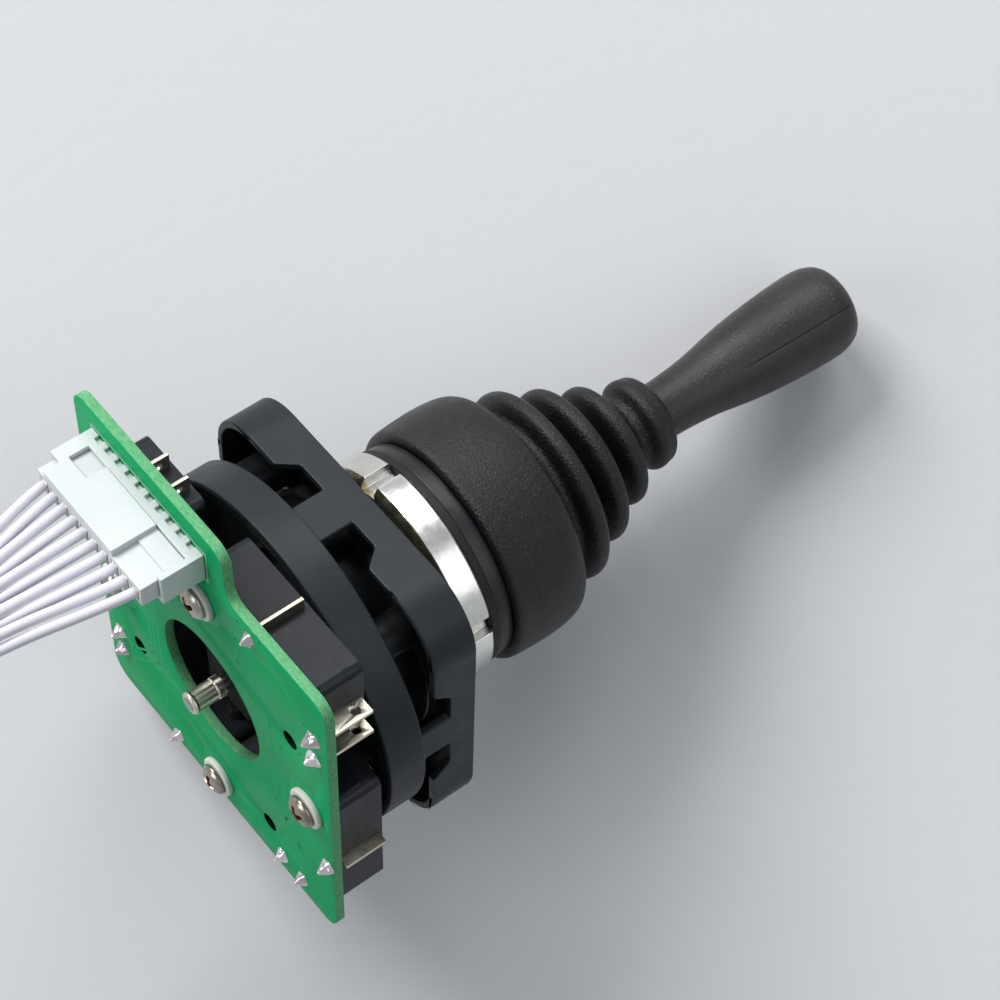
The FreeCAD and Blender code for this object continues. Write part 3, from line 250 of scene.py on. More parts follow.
M["wire"] = moulded("wire_insulation", srgb(202, 201, 211), srgb(216, 215, 224), 0.34, 2400, 0.00001,
                    Subsurface_Weight=0.1, Subsurface_Scale=0.001)
M["inside"] = moulded("carrier_plastic", srgb(13, 15, 17), srgb(20, 22, 25), 0.36, 2300, 0.00001, gloss=0.2)

# The nut's rear chamfer shows the brass under its plating
nut = M["nut"]
plated = nut.base_color()
behind = nut.spread(nut.axes()[2], -0.0049, -0.0045, 1.0, 0.0)
worn = nut.math("MULTIPLY", behind, nut.spread(nut.noise(700, 4, 0.7), 0.36, 0.6, 0.35, 1.0))
nut.color(nut.mix(worn, plated, srgb(190, 176, 134)))

# The terminals have small specks of flux and stain near the case
blade = M["terminal"]
bright = blade.base_color()
stain = blade.spread(blade.noise(1600, 4, 0.7), 0.6, 0.72)
blade.color(blade.mix(blade.math("MULTIPLY", stain, 0.6), bright, srgb(96, 88, 66)))


def board_finish(name, low, high):
    """Solder mask on glass epoxy: woven relief, cloudy tone, bare laminate on cut edges, painted shade on the
    walls of the small holes.
    """
    f = Finish(name, low, 0.42, Specular_IOR_Level=0.04)
    x, y = f.axes()[0:2]
    reach = f.math("MAXIMUM", f.math("ABSOLUTE", x), f.math("ABSOLUTE", y))
    bare = f.math("MAXIMUM", f.math("GREATER_THAN", reach, 0.0275), f.math("LESS_THAN", f.radius(), 0.0126))
    side_on = f.axes(f.new("ShaderNodeNewGeometry").outputs["True Normal"])[2]
    is_edge = f.spread(f.math("ABSOLUTE", side_on), 0.3, 0.6, 1.0, 0.0)
    mask = f.mix(f.spread(f.noise(45, 4, 0.6), 0.35, 0.7), low, high)
    darker = f.spread(f.noise(18, 3, 0.5, warp=0.6), 0.5, 0.75)
    mask = f.mix(f.math("MULTIPLY", darker, 0.5), mask, srgb(0, 126, 70))
    fibres = f.noise(1100, 4, 0.7, stretch=(1, 1, 5))
    rim = f.mix(f.spread(fibres, 0.35, 0.65), srgb(58, 144, 94), srgb(118, 170, 128))
    # Painted shade: the walls of the small holes take a dark green in place of the pale laminate, as if in
    # shadow
    rim = f.mix(bare, srgb(6, 26, 16), rim)
    f.color(f.mix(is_edge, mask, rim))
    f.rough(f.mix(is_edge, (0.4, 0.4, 0.4, 1), (0.62, 0.62, 0.62, 1)))
    warp = f.new("ShaderNodeTexWave", wave_type="BANDS", bands_direction="X")
    weft = f.new("ShaderNodeTexWave", wave_type="BANDS", bands_direction="Y")
    for wave in (warp, weft):
        wave.inputs["Scale"].default_value = 340
        wave.inputs["Distortion"].default_value = 1.2
        f.put(wave.inputs["Vector"], f.coord)
    f.bump(f.math("ADD", warp.outputs["Fac"], weft.outputs["Fac"]), 0.000004, 0.35)
    f.bump(f.noise(160, 3, 0.6), 0.00004, 0.25)
    f.bump(f.math("MULTIPLY", fibres, is_edge), 0.00006, 0.5)
    return f


M["board"] = board_finish("board_mask", srgb(0, 146, 86), srgb(2, 158, 98))
M["track"] = board_finish("board_track", srgb(4, 152, 92), srgb(12, 164, 106))
M["ink"] = Finish("board_ink", srgb(196, 204, 196), 0.5)
M["ink"].bump(M["ink"].noise(5000, 3, 0.6), 0.000008)

# Painted shade: the groove of the grip's parting line is darkened to a dark hairline
SEAM_ANGLE = math.radians(-46.5)
grip = M["grip"]
plain = grip.base_color()
gx, gy, gz = grip.axes()[0:3]
side = grip.math("SUBTRACT", grip.math("MULTIPLY", gx, math.sin(SEAM_ANGLE)),
                 grip.math("MULTIPLY", gy, math.cos(SEAM_ANGLE)))
line = grip.spread(grip.math("ABSOLUTE", side), 0.00008, 0.00022, 1.0, 0.0)
span = grip.math("MULTIPLY", grip.spread(gz, 0.0615, 0.064), grip.spread(gz, 0.0832, 0.084, 1.0, 0.0))
grip.color(grip.mix(grip.math("MULTIPLY", grip.math("MULTIPLY", line, span), 0.85), plain, srgb(6, 6, 6)))


SHARP_ANGLE = 35


def shade(obj, angle):
    """Smooth faces, with the edges sharper than the angle in degrees kept sharp."""
    mesh = obj.data
    mesh.polygons.foreach_set("use_smooth", [True] * len(mesh.polygons))
    mesh.set_sharp_from_angle(angle=math.radians(angle))
    mesh.update()


def weld(obj):
    """Joins the double vertices along the edges of the faces."""
    made = obj.modifiers.new("weld", "WELD")
    made.merge_threshold = WELD_GAP


def dress(node, finish, bevel):
    """Gives a CAD node its finish and softens its hard edges, by a bevel in millimetres."""
    obj = NODES[node]
    obj.data.materials.clear()
    obj.data.materials.append(M[finish].mat)
    weld(obj)
    if bevel:
        made = obj.modifiers.new("edge", "BEVEL")
        made.width = bevel * MM
        made.segments = 2
        made.limit_method = "ANGLE"
        made.angle_limit = math.radians(SHARP_ANGLE)
        made.use_clamp_overlap = True
    shade(obj, SHARP_ANGLE)
    even = obj.modifiers.new("even", "WEIGHTED_NORMAL")
    even.keep_sharp = True


def piece(name, verts, faces, finish, body, smooth=True):
    """A new mesh piece that rides on a body."""
    mesh = bpy.data.meshes.new(name)
    mesh.from_pydata(verts, [], faces)
    mesh.validate()
    mesh.update()
    obj = bpy.data.objects.new(name, mesh)
    scene.collection.objects.link(obj)
    mesh.materials.append(M[finish].mat)
    if smooth:
        mesh.polygons.foreach_set("use_smooth", [True] * len(mesh.polygons))
    if body:
        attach(obj, body)
    return obj


def smooth_step(t):
    t = min(1.0, max(0.0, t))
    return t * t * (3 - 2 * t)


def circle(r, count):
    """The points (x, y) of a round line about the origin."""
    angles = [2 * math.pi * k / count for k in range(count)]
    return [(r * math.cos(a), r * math.sin(a)) for a in angles]


def rounded(points, times):
    """Cuts the corners of an open line, which leaves a smooth curve between its ends."""
    for _ in range(times):
        line = [points[0]]
        for a, b in zip(points, points[1:]):
            line.append(tuple(p * 0.75 + q * 0.25 for p, q in zip(a, b)))
            line.append(tuple(p * 0.25 + q * 0.75 for p, q in zip(a, b)))
        points = line + [points[-1]]
    return points


def lathe_mesh(profile, segments, place=Matrix.Identity(4), move=None):
    """Vertices and faces of a profile of (radius, height) in millimetres, turned round Z."""
    verts, rings = [], []
    for r, z in profile:
        if r < 1e-6:
            rings.append([len(verts)])
            verts.append(place @ Vector((0, 0, z * MM)))
            continue
        ring = []
        for k in range(segments):
            a = 2 * math.pi * k / segments
            rr = r + (move(r, z, a) if move else 0.0)
            ring.append(len(verts))
            verts.append(place @ Vector((rr * math.cos(a) * MM, rr * math.sin(a) * MM, z * MM)))
        rings.append(ring)
    faces = []
    for a, b in zip(rings, rings[1:]):
        for k in range(segments):
            n = (k + 1) % segments
            quad = [a[k % len(a)], a[n % len(a)], b[n % len(b)], b[k % len(b)]]
            face = []
            for v in quad:
                if v not in face:
                    face.append(v)
            if len(face) > 2:
                faces.append(face)
    return verts, faces


def lathe(name, profile, finish, body, segments=96, place=Matrix.Identity(4), move=None):
    verts, faces = lathe_mesh(profile, segments, place, move)
    return piece(name, verts, faces, finish, body)


# The lead's ten wires
WIRE_DIAMETER = 1.6
WIRE_ROUTES = [
    [(-22.8, -34.4, -47.8), (-22.8, -34.4, -50.0), (-15.90, -35.25, -70.0), (-15.73, -35.11, -100.5),
     (-16.17, -34.84, -137.4), (-16.77, -34.45, -171.4), (-16.64, -34.82, -199.0)],
    [(-20.3, -34.4, -47.8), (-20.3, -34.4, -50.0), (-15.20, -33.55, -69.3), (-14.51, -33.30, -102.1),
     (-14.94, -33.13, -135.7), (-15.49, -32.77, -168.6), (-15.45, -32.99, -198.1)],
    [(-17.8, -34.4, -47.8), (-17.8, -34.4, -50.0), (-13.90, -35.25, -68.6), (-13.36, -35.11, -101.6),
     (-13.65, -34.90, -136.8), (-14.28, -34.47, -169.9), (-14.19, -34.82, -198.5)],
    [(-15.3, -34.4, -47.8), (-15.3, -34.4, -50.0), (-13.20, -33.55, -70.0), (-12.07, -33.36, -101.6),
     (-12.49, -33.16, -137.6), (-13.05, -32.72, -170.8), (-12.86, -33.05, -195.5)],
    [(-12.8, -34.4, -47.8), (-12.8, -34.4, -50.0), (-11.50, -35.25, -69.3), (-10.86, -35.08, -99.6),
     (-11.36, -34.86, -136.2), (-11.96, -34.45, -171.4), (-11.60, -34.71, -196.9)],
    [(-10.3, -34.4, -47.8), (-10.3, -34.4, -50.0), (-10.90, -33.55, -68.6), (-9.64, -33.38, -100.4),
     (-10.08, -33.14, -137.1), (-10.65, -32.68, -170.1), (-10.35, -33.12, -196.3)],
    [(-7.8, -34.4, -47.8), (-7.8, -34.4, -50.0), (-8.50, -35.25, -70.0), (-8.48, -34.97, -100.0),
     (-8.93, -34.87, -136.5), (-9.58, -34.46, -171.0), (-9.19, -34.82, -196.0)],
    [(-5.3, -34.4, -47.8), (-5.3, -34.4, -50.0), (-7.80, -33.55, -69.3), (-7.36, -33.39, -101.3),
     (-7.64, -33.22, -137.2), (-8.29, -32.69, -169.0), (-7.82, -33.09, -197.6)],
    [(-2.8, -34.4, -47.8), (-2.8, -34.4, -50.0), (-5.60, -35.25, -68.6), (-6.12, -34.99, -99.6),
     (-6.56, -34.90, -137.8), (-7.14, -34.45, -169.7), (-6.66, -34.83, -197.6)],
    [(-0.3, -34.4, -47.8), (-0.3, -34.4, -50.0), (-4.70, -33.55, -70.0), (-4.92, -33.34, -99.6),
     (-5.27, -33.15, -136.6), (-5.87, -32.82, -168.8), (-5.33, -32.99, -195.9)],
]
WIRE_LENGTHS = [152.2, 150.9, 151.1, 147.8, 149.2, 148.6, 148.2, 150.0, 150.0, 148.5]


def make_wire(number, route):
    curve = bpy.data.curves.new("lead_wire_%02d" % number, "CURVE")
    curve.dimensions = "3D"
    curve.bevel_depth = WIRE_DIAMETER / 2 * MM
    curve.bevel_resolution = 5
    curve.use_fill_caps = True
    spline = curve.splines.new("NURBS")
    spline.points.add(len(route) - 1)
    for point, (x, y, z) in zip(spline.points, route):
        point.co = (x * MM, y * MM, z * MM, 1)
    spline.order_u = 3
    spline.use_endpoint_u = True
    spline.resolution_u = 16
    obj = bpy.data.objects.new(curve.name, curve)
    scene.collection.objects.link(obj)
    curve.materials.append(M["wire"].mat)
    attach(obj, "base")
    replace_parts(obj, "wire_%02d" % number)


for number, (route, length) in enumerate(zip(WIRE_ROUTES, WIRE_LENGTHS), 1):
    make_wire(number, route)


# Boot: skirt and bellows as one smooth profile, in two halves
BOOT_SPLIT = 18.9
CRESTS = [(16.2, 23.6), (13.17, 29.97), (10.14, 36.34), (7.6, 43.3)]
GROOVES = [13.4, 8.8, 6.2, 5.6]


def boot_profile():
    line = [(17.95, 4.05), (19.2, 4.0), (19.95, 4.5), (20.1, 6.5), (20.3, 10.5), (20.15, 14.0), (19.7, 16.3),
            (19.0, 17.5), (17.8, 18.1), (15.6, 18.4)]
    for (r, z), groove in zip(CRESTS, GROOVES):
        line += [(groove + 0.3, z - 4.2), (groove - 0.1, z - 3.1), (groove + 0.4, z - 2.2)]
        line += [(r - 1.2, z - 1.9), (r + 0.05, z - 1.2), (r + 0.3, z - 0.1), (r + 0.05, z + 0.8)]
        line.append((r - 1.2, z + 1.5) if r > 8 else (r - 0.1, z + 1.9))
    line += [(6.5, 46.0), (5.8, 46.3), (5.1, 46.3)]
    return rounded(line, 3)


def make_boot():
    """The outer skin and a plainer inner skin, cut in the first groove into two parts."""
    outer = boot_profile()
    split = min(range(len(outer)), key=lambda i: abs(outer[i][1] - BOOT_SPLIT))
    cut_at = outer[split][1]
    inner_low = [(17.85, 4.05), (17.85, 14.0), (17.4, 16.0), (16.0, 17.3), (14.3, cut_at)]
    inner_high = [(14.3, cut_at), (13.3, 19.7), (12.8, 20.4), (13.1, 21.2), (14.6, 22.3), (14.8, 24.0),
                  (12.6, 25.2), (8.4, 26.0), (8.1, 27.8), (5.8, 32.2), (5.5, 34.4), (5.2, 38.6), (5.1, 41.0),
                  (5.1, 46.3)]
    low = outer[: split + 1] + rounded(inner_low, 1)[::-1] + [outer[0]]
    high = outer[split:] + rounded(inner_high, 1)[::-1]
    skirt = lathe("boot_skirt", low, "boot", None, 160)
    folds = lathe("boot_folds", high, "boot", None, 160)
    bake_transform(skirt)
    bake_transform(folds)
    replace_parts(skirt, "boot")


make_boot()


# Grip: a smooth profile with the mould's two parting lines as shallow grooves
def seam(r, z, a):
    off = abs((a - SEAM_ANGLE + math.pi / 2) % math.pi - math.pi / 2) * r
    ends = smooth_step((z - 61.5) / 2.0) * smooth_step((83.6 - z) / 1.2)
    return -0.3 * max(0.0, 1 - off / 0.2) * ends


def make_grip():
    side = [(3.05, 44.6), (4.45, 44.6), (4.72, 44.85), (4.75, 46.0), (4.78, 48.5), (4.95, 52.0), (5.4, 56.5),
            (6.15, 60.5), (6.95, 65.5), (7.45, 71.0), (7.78, 76.0), (7.9, 79.5), (7.7, 82.2), (6.65, 84.5),
            (4.0, 85.1), (0.0, 85.1)]
    line = rounded(side, 2)
    dense = [line[0]]
    for (r0, z0), (r1, z1) in zip(line, line[1:]):
        steps = max(1, int(abs(z1 - z0)))
        dense += [(r0 + (r1 - r0) * k / steps, z0 + (z1 - z0) * k / steps) for k in range(1, steps + 1)]
    obj = lathe("grip_moulding", dense, "grip", "lever", 240, move=seam)
    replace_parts(obj, "handle_grip")


make_grip()


def joined(parts):
    """One list of vertices and one of faces from many."""
    verts, faces = [], []
    for some_verts, some_faces in parts:
        start = len(verts)
        verts += some_verts
        faces += [[start + v for v in face] for face in some_faces]
    return verts, faces


def at(x, y, z, flip=False, turn=0.0):
    """A place in millimetres, turned about Z, and upside down if it points backwards."""
    place = Matrix.Translation(Vector((x, y, z)) * MM)
    if flip:
        place = place @ Matrix.Rotation(math.pi, 4, "X")
    return place @ Matrix.Rotation(turn, 4, "Z")


def ringed(place, rings):
    """A skin over rings of points in millimetres, with a face over the first ring."""
    verts = [place @ (Vector(v) * MM) for ring in rings for v in ring]
    count = len(rings[0])
    faces = []
    for i in range(len(rings) - 1):
        for k in range(count):
            n = (k + 1) % count
            faces.append([i * count + k, i * count + n, (i + 1) * count + n, (i + 1) * count + k])
    faces.append(list(range(count))[::-1])
    return verts, faces


# Screws: domed heads with a tapered cross recess
HEAD_RADIUS, HEAD_TALL, SHANK_RADIUS = 2.65, 1.6, 1.5
SCREW_SIDES = 96
BOARD_SCREW_RING, FRAME_SCREW_SPOT = 24.4, 17.0


def head_dome(x, y):
    r = math.hypot(x, y) / HEAD_RADIUS
    return HEAD_TALL * (1 - 0.5 * r ** 2 - 0.16 * r ** 8)


def cross_arm(u, v):
    """How deep one arm of the cross goes, from 0 to 1."""
    u, v = abs(u), abs(v)
    return smooth_step((1.6 - u) / 0.25) * smooth_step((0.56 - 0.12 * u - v) / 0.12)


def head_height(x, y):
    depth = 1.25 - 0.45 * math.hypot(x, y)
    return head_dome(x, y) - max(cross_arm(x, y), cross_arm(y, x)) * max(0.2, depth)


def screw(place, long):
    radii = [0.05] + [0.085 * k for k in range(1, 27)] + [2.33, 2.44, 2.53, 2.59, 2.63, HEAD_RADIUS]
    rings = [[(x, y, head_height(x, y)) for x, y in circle(r, SCREW_SIDES)] for r in radii]
    shank = [(SHANK_RADIUS, 0.0), (SHANK_RADIUS, -long + 0.6), (0.9, -long)]
    for r, z in [(HEAD_RADIUS, 0.25), (2.58, 0.06), (2.4, 0.0)] + shank:
        rings.append([(x, y, z) for x, y in circle(r, SCREW_SIDES)])
    return ringed(place, rings)


def make_screws():
    board_places, frame_places = [], []
    for i, (c, d) in enumerate(QUARTERS):
        board_places.append(at(BOARD_SCREW_RING * c, BOARD_SCREW_RING * d, -39.0, True, 0.5 + 1.1 * i))
        frame_places.append(at(FRAME_SCREW_SPOT * (c - d), FRAME_SCREW_SPOT * (c + d), -9.7, False, 0.9 * i))
    for name, places, long, node in [("board_screw_set", board_places, 12.0, "board_screws"),
                                     ("frame_screw_set", frame_places, 9.0, "frame_screws")]:
        verts, faces = joined([screw(place, long) for place in places])
        obj = piece(name, verts, faces, "screw", "base")
        obj.data.materials.append(M["recess"].mat)
        for face in obj.data.polygons:
            for place in places:
                x, y, z = place.inverted() @ face.center / MM
                if math.hypot(x, y) < 2.0 and 0.5 < z < head_dome(x, y) - 0.14:
                    face.material_index = 1
        shade(obj, 40)
        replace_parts(obj, node)


make_screws()


# Solder: uneven mounds drawn up round each pin, wider one way than the other
BOARD_REAR, BOARD_FRONT = -38.0, -36.4
HEADER_X, HEADER_Y, HEADER_PITCH = -22.8, -34.4, 2.5
TERMINAL_JOINTS = [(28.5, 12.0, 1.0, 0.85), (16.2, 26.5, 0.85, 1.0), (21.3, 26.5, 0.85, 1.0)]


def solder(place, reach, tall, seed, long_x=1.0, long_y=1.0):
    count, rings = 30, []
    for i in range(15):
        t = i / 14
        ring = []
        for k in range(count):
            a = 2 * math.pi * k / count
            spot = Vector((math.cos(a) * 1.1 + seed * 3.7, math.sin(a) * 1.1, t * 1.3))
            wobble = 1 + 0.34 * noise.noise(spot) * (1 - 0.5 * t)
            r = (0.34 + (reach - 0.34) * (1 - t) ** 1.25) * wobble
            lean = 0.22 * t * noise.noise(Vector((seed * 1.9, 5.0, 0.0)))
            lump = 0.16 * tall * noise.noise(spot * 1.7 + Vector((0, 0, 9))) * (1 - t) * (t > 0)
            z = tall * (t ** 0.85) + lump
            ring.append((r * math.cos(a) * long_x + lean, r * math.sin(a) * long_y + lean * 0.6, z))
        rings.append(ring)
    top = rings[-1]
    rings.append([(x * 0.55, y * 0.55, z + 0.12) for x, y, z in top])
    return ringed(place, rings[::-1])


def make_solder():
    parts = []
    for k in range(4):
        turn = Matrix.Rotation(k * math.pi / 2, 4, "Z")
        for j, (x, y, wide, deep) in enumerate(TERMINAL_JOINTS):
            seed = 1 + k * 3 + j
            parts.append(solder(turn @ at(x, y, BOARD_REAR, True), 1.46 + 0.1 * math.sin(seed * 2.3),
                                1.6 + 0.2 * math.sin(seed * 1.7), seed, wide, deep))
    for i in range(10):
        parts.append(solder(at(HEADER_X + HEADER_PITCH * i, HEADER_Y, BOARD_FRONT), 0.92, 1.35, 20 + i))
    verts, faces = joined(parts)
    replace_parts(piece("solder_mounds", verts, faces, "solder", "base"), "solder_joints")


make_solder()


# Tail ferrule: fluted, with a plain ring at its end and a dark cross hole at its root
def flutes(r, z, a):
    depth = 0.0
    if r > 1.5 and -41.35 < z < -37.5:
        ends = smooth_step((z + 41.35) / 0.2) * smooth_step((-37.5 - z) / 0.2)
        depth = 0.26 * abs(math.sin(a * 5 + 0.4)) ** 0.6 * ends
    if r > 1.5 and -37.35 < z < -36.35 and abs(math.sin(a + 0.5)) < 0.3:
        depth = 0.75
    return -depth


def make_ferrule():
    side = [(1.82, -41.85), (1.9, -41.7), (1.9, -41.45), (1.8, -41.36)]
    side += [(1.8, -41.3 + 0.1 * k) for k in range(49)]
    line = [(0.0, -41.8), (0.9, -41.8), (1.15, -42.0), (1.7, -42.0)] + side
    line += [(1.8, -36.3), (1.7, -36.2), (1.25, -36.2)]
    obj = lathe("tail_ferrule_fluted", line, "contact", "lever", 120, move=flutes)
    shade(obj, 40)
    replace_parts(obj, "tail_ferrule")


make_ferrule()


# Return spring: two halves of the CAD helix
COIL_RADIUS, COIL_WIRE, COIL_TURNS = 8.45, 0.55, 4
COIL_FOOT, COIL_TALL = 9.5, 10.9
COIL_STEPS, COIL_SIDES = 96, 14


def make_coil(name, first, last):
    rings = []
    for i in range(COIL_STEPS + 1):
        t = first + (last - first) * i / COIL_STEPS
        a = 2 * math.pi * COIL_TURNS * t
        ring = []
        for k in range(COIL_SIDES):
            b = 2 * math.pi * k / COIL_SIDES
            r = COIL_RADIUS + COIL_WIRE * math.cos(b)
            z = COIL_FOOT + COIL_TALL * t - COIL_WIRE * math.sin(b)
            ring.append((r * math.cos(a), r * math.sin(a), z))
        rings.append(ring)
    verts, faces = ringed(Matrix.Identity(4), rings)
    faces.append(list(range(len(verts) - COIL_SIDES, len(verts))))
    return piece(name, verts, faces, "spring", None)


def make_return_spring():
    low = make_coil("return_coil_low", 0.0, 0.5)
    high = make_coil("return_coil_high", 0.5, 1.0)
    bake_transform(low)
    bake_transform(high)
    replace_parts(low, "return_spring")


make_return_spring()


# Barrel: the CAD profile with a real thread cut into it
THREAD_RADIUS, THREAD_PITCH, THREAD_DEPTH = 15.0, 1.5, 0.6
THREAD_FOOT, THREAD_TOP = -11.6, 1.3


def thread(r, z, a):
    if abs(r - THREAD_RADIUS) > 0.001 or not THREAD_FOOT < z < THREAD_TOP:
        return 0.0
    wave = 0.5 - 0.5 * math.cos(2 * math.pi * (z / THREAD_PITCH) - a)
    ends = smooth_step((z - THREAD_FOOT) / 0.8) * smooth_step((THREAD_TOP - z) / 0.8)
    return -THREAD_DEPTH * wave ** 0.75 * ends


def make_barrel():
    line = [(12.5, -13.4), (12.7, -13.7), (20.3, -13.7), (20.5, -13.5), (20.5, -11.9), (20.3, -11.7)]
    line.append((THREAD_RADIUS, -11.7))
    line += [(THREAD_RADIUS, THREAD_FOOT + 0.125 * k) for k in range(104)]
    line += [(THREAD_RADIUS, 1.4), (18.2, 1.4), (18.36, 1.46), (18.4, 1.6), (18.4, 3.5), (18.28, 3.84)]
    line += [(18.0, 4.0), (17.5, 4.0), (17.5, 14.7), (17.2, 15.0), (14.5, 15.0), (14.2, 14.7)]
    line += [(14.2, 7.5), (12.7, 7.5), (12.5, 7.3), (12.5, -13.4)]
    obj = lathe("threaded_barrel", line, "barrel", "base", 180, move=thread)
    shade(obj, 40)
    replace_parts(obj, "barrel")


make_barrel()


# Board: the CAD outline with its holes, and faintly rounded edges
BOARD_CORNERS = [(-29.8, -41.7, 3), (6.8, -41.7, 3), (6.8, -31.8, 3), (29.8, -31.8, 3), (29.8, 30.2, 3),
                 (-29.8, 30.2, 4)]
BOARD_MIDDLE, BOARD_EDGE = -37.2, 0.06
LEVER_HOLE, SMALL_HOLE = 12.1, 1.6


def board_outline():
    points = []
    for i, (x, y, r) in enumerate(BOARD_CORNERS):
        here = Vector((x, y))
        back = (Vector(BOARD_CORNERS[i - 1][:2]) - here).normalized() * r
        on = (Vector(BOARD_CORNERS[(i + 1) % len(BOARD_CORNERS)][:2]) - here).normalized() * r
        middle = here + back + on
        for k in range(9):
            a = math.pi / 2 * k / 8
            points.append(middle - on * math.cos(a) - back * math.sin(a))
    return points


def board_round(x, y, r, count=32):
    return [Vector((x + u, y + v)) for u, v in circle(r, count)]


def make_board():
    loops = [board_outline(), board_round(0, 0, LEVER_HOLE, 96)]
    for k in range(4):
        turn = Matrix.Rotation(k * math.pi / 2, 2)
        for spot in [(20.6, -13.2), (BOARD_SCREW_RING, 0.0)]:
            x, y = turn @ Vector(spot)
            loops.append(board_round(x, y, SMALL_HOLE))
    curve = bpy.data.curves.new("board_panel", "CURVE")
    curve.dimensions = "2D"
    curve.fill_mode = "BOTH"
    curve.extrude = (0.8 - BOARD_EDGE) * MM
    curve.bevel_depth = BOARD_EDGE * MM
    curve.bevel_resolution = 1
    curve.offset = -BOARD_EDGE * MM
    for loop in loops:
        spline = curve.splines.new("POLY")
        spline.points.add(len(loop) - 1)
        for point, v in zip(spline.points, loop):
            point.co = (v.x * MM, v.y * MM, 0, 1)
        spline.use_cyclic_u = True
    draft = bpy.data.objects.new("board_panel", curve)
    mesh = bpy.data.meshes.new_from_object(draft)
    mesh.transform(Matrix.Translation((0, 0, BOARD_MIDDLE * MM)))
    verts = [v.co.copy() for v in mesh.vertices]
    faces = [list(face.vertices) for face in mesh.polygons]
    bpy.data.objects.remove(draft)
    obj = piece("board_panel", verts, faces, "board", "base")
    weld(obj)
    shade(obj, 30)
    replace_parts(obj, "circuit_board")


make_board()


# Copper tracks under the mask, rings round the screws and a printed line round the header
TRACKS = [
    [(-0.3, -31.4), (1.5, -29.9), (9.4, -29.9), (12.0, -28.5)],
    [(-2.8, -31.4), (-1.4, -30.7), (14.6, -30.7), (24.4, -22.6), (26.5, -21.3)],
    [(-5.3, -31.4), (-5.3, -28.6), (-8.4, -25.5), (-8.4, -17.2), (-14.4, -11.0), (-14.4, 23.6),
     (-12.0, 28.5)],
    [(-7.8, -31.4), (-7.8, -29.4), (-9.7, -27.2), (-9.7, -18.3), (-15.6, -12.2), (-15.6, 12.2), (-24.6, 21.3),
     (-26.5, 21.3)],
    [(-10.3, -31.4), (-10.3, -29.6), (-16.8, -23.0), (-16.8, 10.4), (-22.6, 16.2), (-26.5, 16.2)],
    [(-12.8, -31.4), (-16.2, -28.1), (-16.2, -26.5)],
    [(-15.3, -31.4), (-18.8, -28.4), (-21.3, -26.5)],
    [(-17.8, -31.4), (-23.9, -25.6), (-28.0, -20.4), (-28.5, -12.0)],
    [(26.5, -16.2), (22.8, -12.4), (18.0, -7.6), (18.0, 12.5), (16.2, 20.0), (16.2, 26.5)],
    [(12.0, -28.5), (8.3, -24.2), (8.3, -18.4), (15.6, -10.8), (15.6, 10.2), (21.3, 17.0), (21.3, 26.5)],
    [(28.5, 12.0), (24.2, 16.6), (19.0, 16.6)],
    [(-12.0, 28.5), (8.8, 28.5), (16.2, 26.5)],
]
PRINTED = [[(-25.65, -37.75), (2.55, -37.75), (2.55, -31.2), (-25.65, -31.2), (-25.65, -37.75)]]


def strips(lines, width, height):
    """Flat raised strips along lines of (x, y), on the board's rear face."""
    parts = []
    for line in lines:
        for (x0, y0), (x1, y1) in zip(line, line[1:]):
            along = Vector((x1 - x0, y1 - y0)).normalized() * width / 2
            side = Vector((-along.y, along.x))
            a, b = Vector((x0, y0)) - along * 0.7, Vector((x1, y1)) + along * 0.7
            foot = [a + side, b + side, b - side, a - side]
            top = [a + side * 0.8, b + side * 0.8, b - side * 0.8, a - side * 0.8]
            verts = [Vector((v.x, v.y, BOARD_REAR + 0.01)) * MM for v in foot]
            verts += [Vector((v.x, v.y, BOARD_REAR - height)) * MM for v in top]
            parts.append((verts, [[4, 5, 6, 7], [0, 1, 5, 4], [1, 2, 6, 5], [2, 3, 7, 6], [3, 0, 4, 7]]))
    return joined(parts)


def make_tracks():
    parts = [strips(TRACKS, 0.5, 0.016)]
    for c, d in QUARTERS:
        place = at(BOARD_SCREW_RING * c, BOARD_SCREW_RING * d, BOARD_REAR, True)
        parts.append(lathe_mesh([(4.75, -0.01), (4.68, 0.02), (1.8, 0.02)], 72, place))
    verts, faces = joined(parts)
    piece("copper_tracks", verts, faces, "track", "base", smooth=False)
    verts, faces = strips(PRINTED, 0.16, 0.015)
    piece("printed_line", verts, faces, "ink", "base", smooth=False)


make_tracks()

# CAD pieces that keep their shape, with softened edges
for node, finish, bevel in [
    ("panel_gasket", "gasket", 0.2), ("ring_nut", "nut", 0.18),
    ("mounting_frame", "housing", 0.35), ("switch_carrier", "inside", 0.2),
    ("board_washers", "washer", 0.28),
    ("common_terminals", "terminal", 0.08), ("throw_terminals", "terminal", 0.08),
    ("pin_header", "connector", 0.15), ("header_pins", "contact", 0.05), ("plug_housing", "connector", 0.2),
    ("crimp_contacts", "contact", 0.05), ("tinned_ends", "solder", 0.05), ("gimbal_ring", "steel", 0.2),
    ("gimbal_pins", "steel", 0.15), ("lever_rod", "steel", 0.15), ("lever_pin", "steel", 0.15),
    ("actuator_cam", "cam", 0.15), ("spring_cup", "steel", 0.15),
    ("spring_washer", "steel", 0.15), ("retaining_clip", "spring", 0.1),
]:
    dress(node, finish, bevel)
for k in range(1, 5):
    dress("switch_case_%d" % k, "switch", 0.25)
    dress("switch_cover_%d" % k, "switch", 0.25)
    dress("plunger_%d" % k, "plunger", 0.1)
    dress("snap_spring_%d" % k, "spring", 0.0)


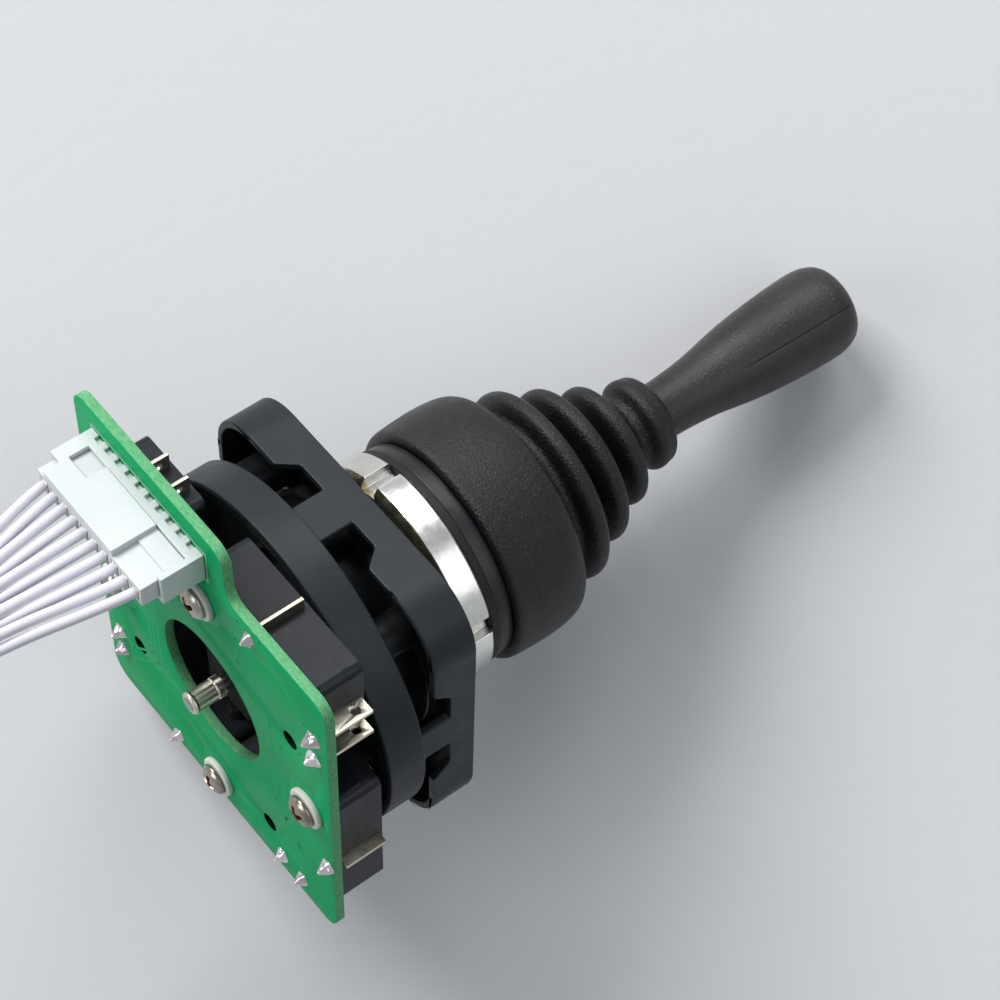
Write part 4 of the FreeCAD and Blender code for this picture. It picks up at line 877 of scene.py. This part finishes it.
# Backdrop: a pale sheet close behind the object, which takes its shadow and is seen from the front only
def stage_sheet(name, corners, color):
    mesh = bpy.data.meshes.new(name)
    mesh.from_pydata([tuple(c) for c in corners], [], [(0, 1, 2, 3)])
    obj = bpy.data.objects.new(name, mesh)
    scene.collection.objects.link(obj)
    f = Finish(name + "_finish", color, 0.95, Specular_IOR_Level=0.0)
    f.bump(f.noise(350, 5, 0.6), 0.00012, 0.5)
    clear = f.new("ShaderNodeBsdfTransparent")
    join = f.new("ShaderNodeMixShader")
    f.put(join.inputs[0], f.new("ShaderNodeNewGeometry").outputs["Backfacing"])
    f.put(join.inputs[1], f.shader.outputs[0])
    f.put(join.inputs[2], clear.outputs[0])
    f.put(f.tree.nodes["Material Output"].inputs["Surface"], join.outputs[0])
    mesh.materials.append(f.mat)


SHEET_FACE = Vector((0.4675, -0.8296, -0.2928)).normalized()
SHEET_GAP, SHEET_REACH = 0.0015, 1.6
touching = [Vector((x, y, z)) * MM for x in (-30, 30) for y in (-42, 31.5) for z in (-38, -36.4)]
for r, z in [(20, 12), (29, -14), (7.6, 80)]:
    touching += [Vector((r * math.cos(k * 0.3), r * math.sin(k * 0.3), z)) * MM for k in range(21)]
nearest = min(touching, key=lambda c: c.dot(SHEET_FACE))
centre = EYE + AHEAD * ((nearest - EYE).dot(SHEET_FACE) / AHEAD.dot(SHEET_FACE)) - SHEET_FACE * SHEET_GAP
across = RIGHT - SHEET_FACE * RIGHT.dot(SHEET_FACE)
along = SHEET_FACE.cross(across)
sheet_corners = [centre + across.normalized() * a * SHEET_REACH + along.normalized() * b * SHEET_REACH
                 for a, b in ((-1, -1), (1, -1), (1, 1), (-1, 1))]
stage_sheet("backdrop", sheet_corners, srgb(196, 198, 201))

# World: it lights the object at a low level and shows brighter to the camera and in reflections
WORLD_LIGHT, WORLD_SEEN = 0.34, 0.7
world = bpy.data.worlds.new("studio")
scene.world = world
world.use_nodes = True
sky = world.node_tree.nodes
sky["Background"].inputs[0].default_value = srgb(216, 219, 224)
rays = sky.new("ShaderNodeLightPath")
seen = None
for kind in ("Is Camera Ray", "Is Glossy Ray", "Is Transmission Ray"):
    if seen is None:
        seen = rays.outputs[kind]
        continue
    either = sky.new("ShaderNodeMath")
    either.operation = "MAXIMUM"
    world.node_tree.links.new(seen, either.inputs[0])
    world.node_tree.links.new(rays.outputs[kind], either.inputs[1])
    seen = either.outputs[0]
level = sky.new("ShaderNodeMapRange")
level.inputs["To Min"].default_value = WORLD_LIGHT
level.inputs["To Max"].default_value = WORLD_SEEN
world.node_tree.links.new(seen, level.inputs["Value"])
world.node_tree.links.new(level.outputs[0], sky["Background"].inputs[1])


def soft_light(name, right, up, toward, power, side, tint=(1, 1, 1)):
    """An area light placed in the photo camera's own directions, in metres, and aimed at the origin."""
    spot = RIGHT * right + UP * up - AHEAD * toward
    data = bpy.data.lights.new(name, "AREA")
    data.shape = "SQUARE"
    data.size = side
    data.energy = power
    data.color = tint
    obj = bpy.data.objects.new(name, data)
    scene.collection.objects.link(obj)
    obj.location = spot
    obj.rotation_euler = (-spot).to_track_quat("-Z", "Y").to_euler()


soft_light("key", -0.9, 1.2, 1.1, 37.6, 0.9, (1.0, 0.99, 0.97))
soft_light("fill", 0.6, -0.1, 0.7, 1.8, 0.7, (0.95, 0.97, 1.0))
soft_light("top", 0.3, 1.5, 0.8, 12.0, 1.0)
soft_light("left", -1.5, -0.3, 1.0, 9.6, 1.0)

scene.view_settings.view_transform = "Standard"
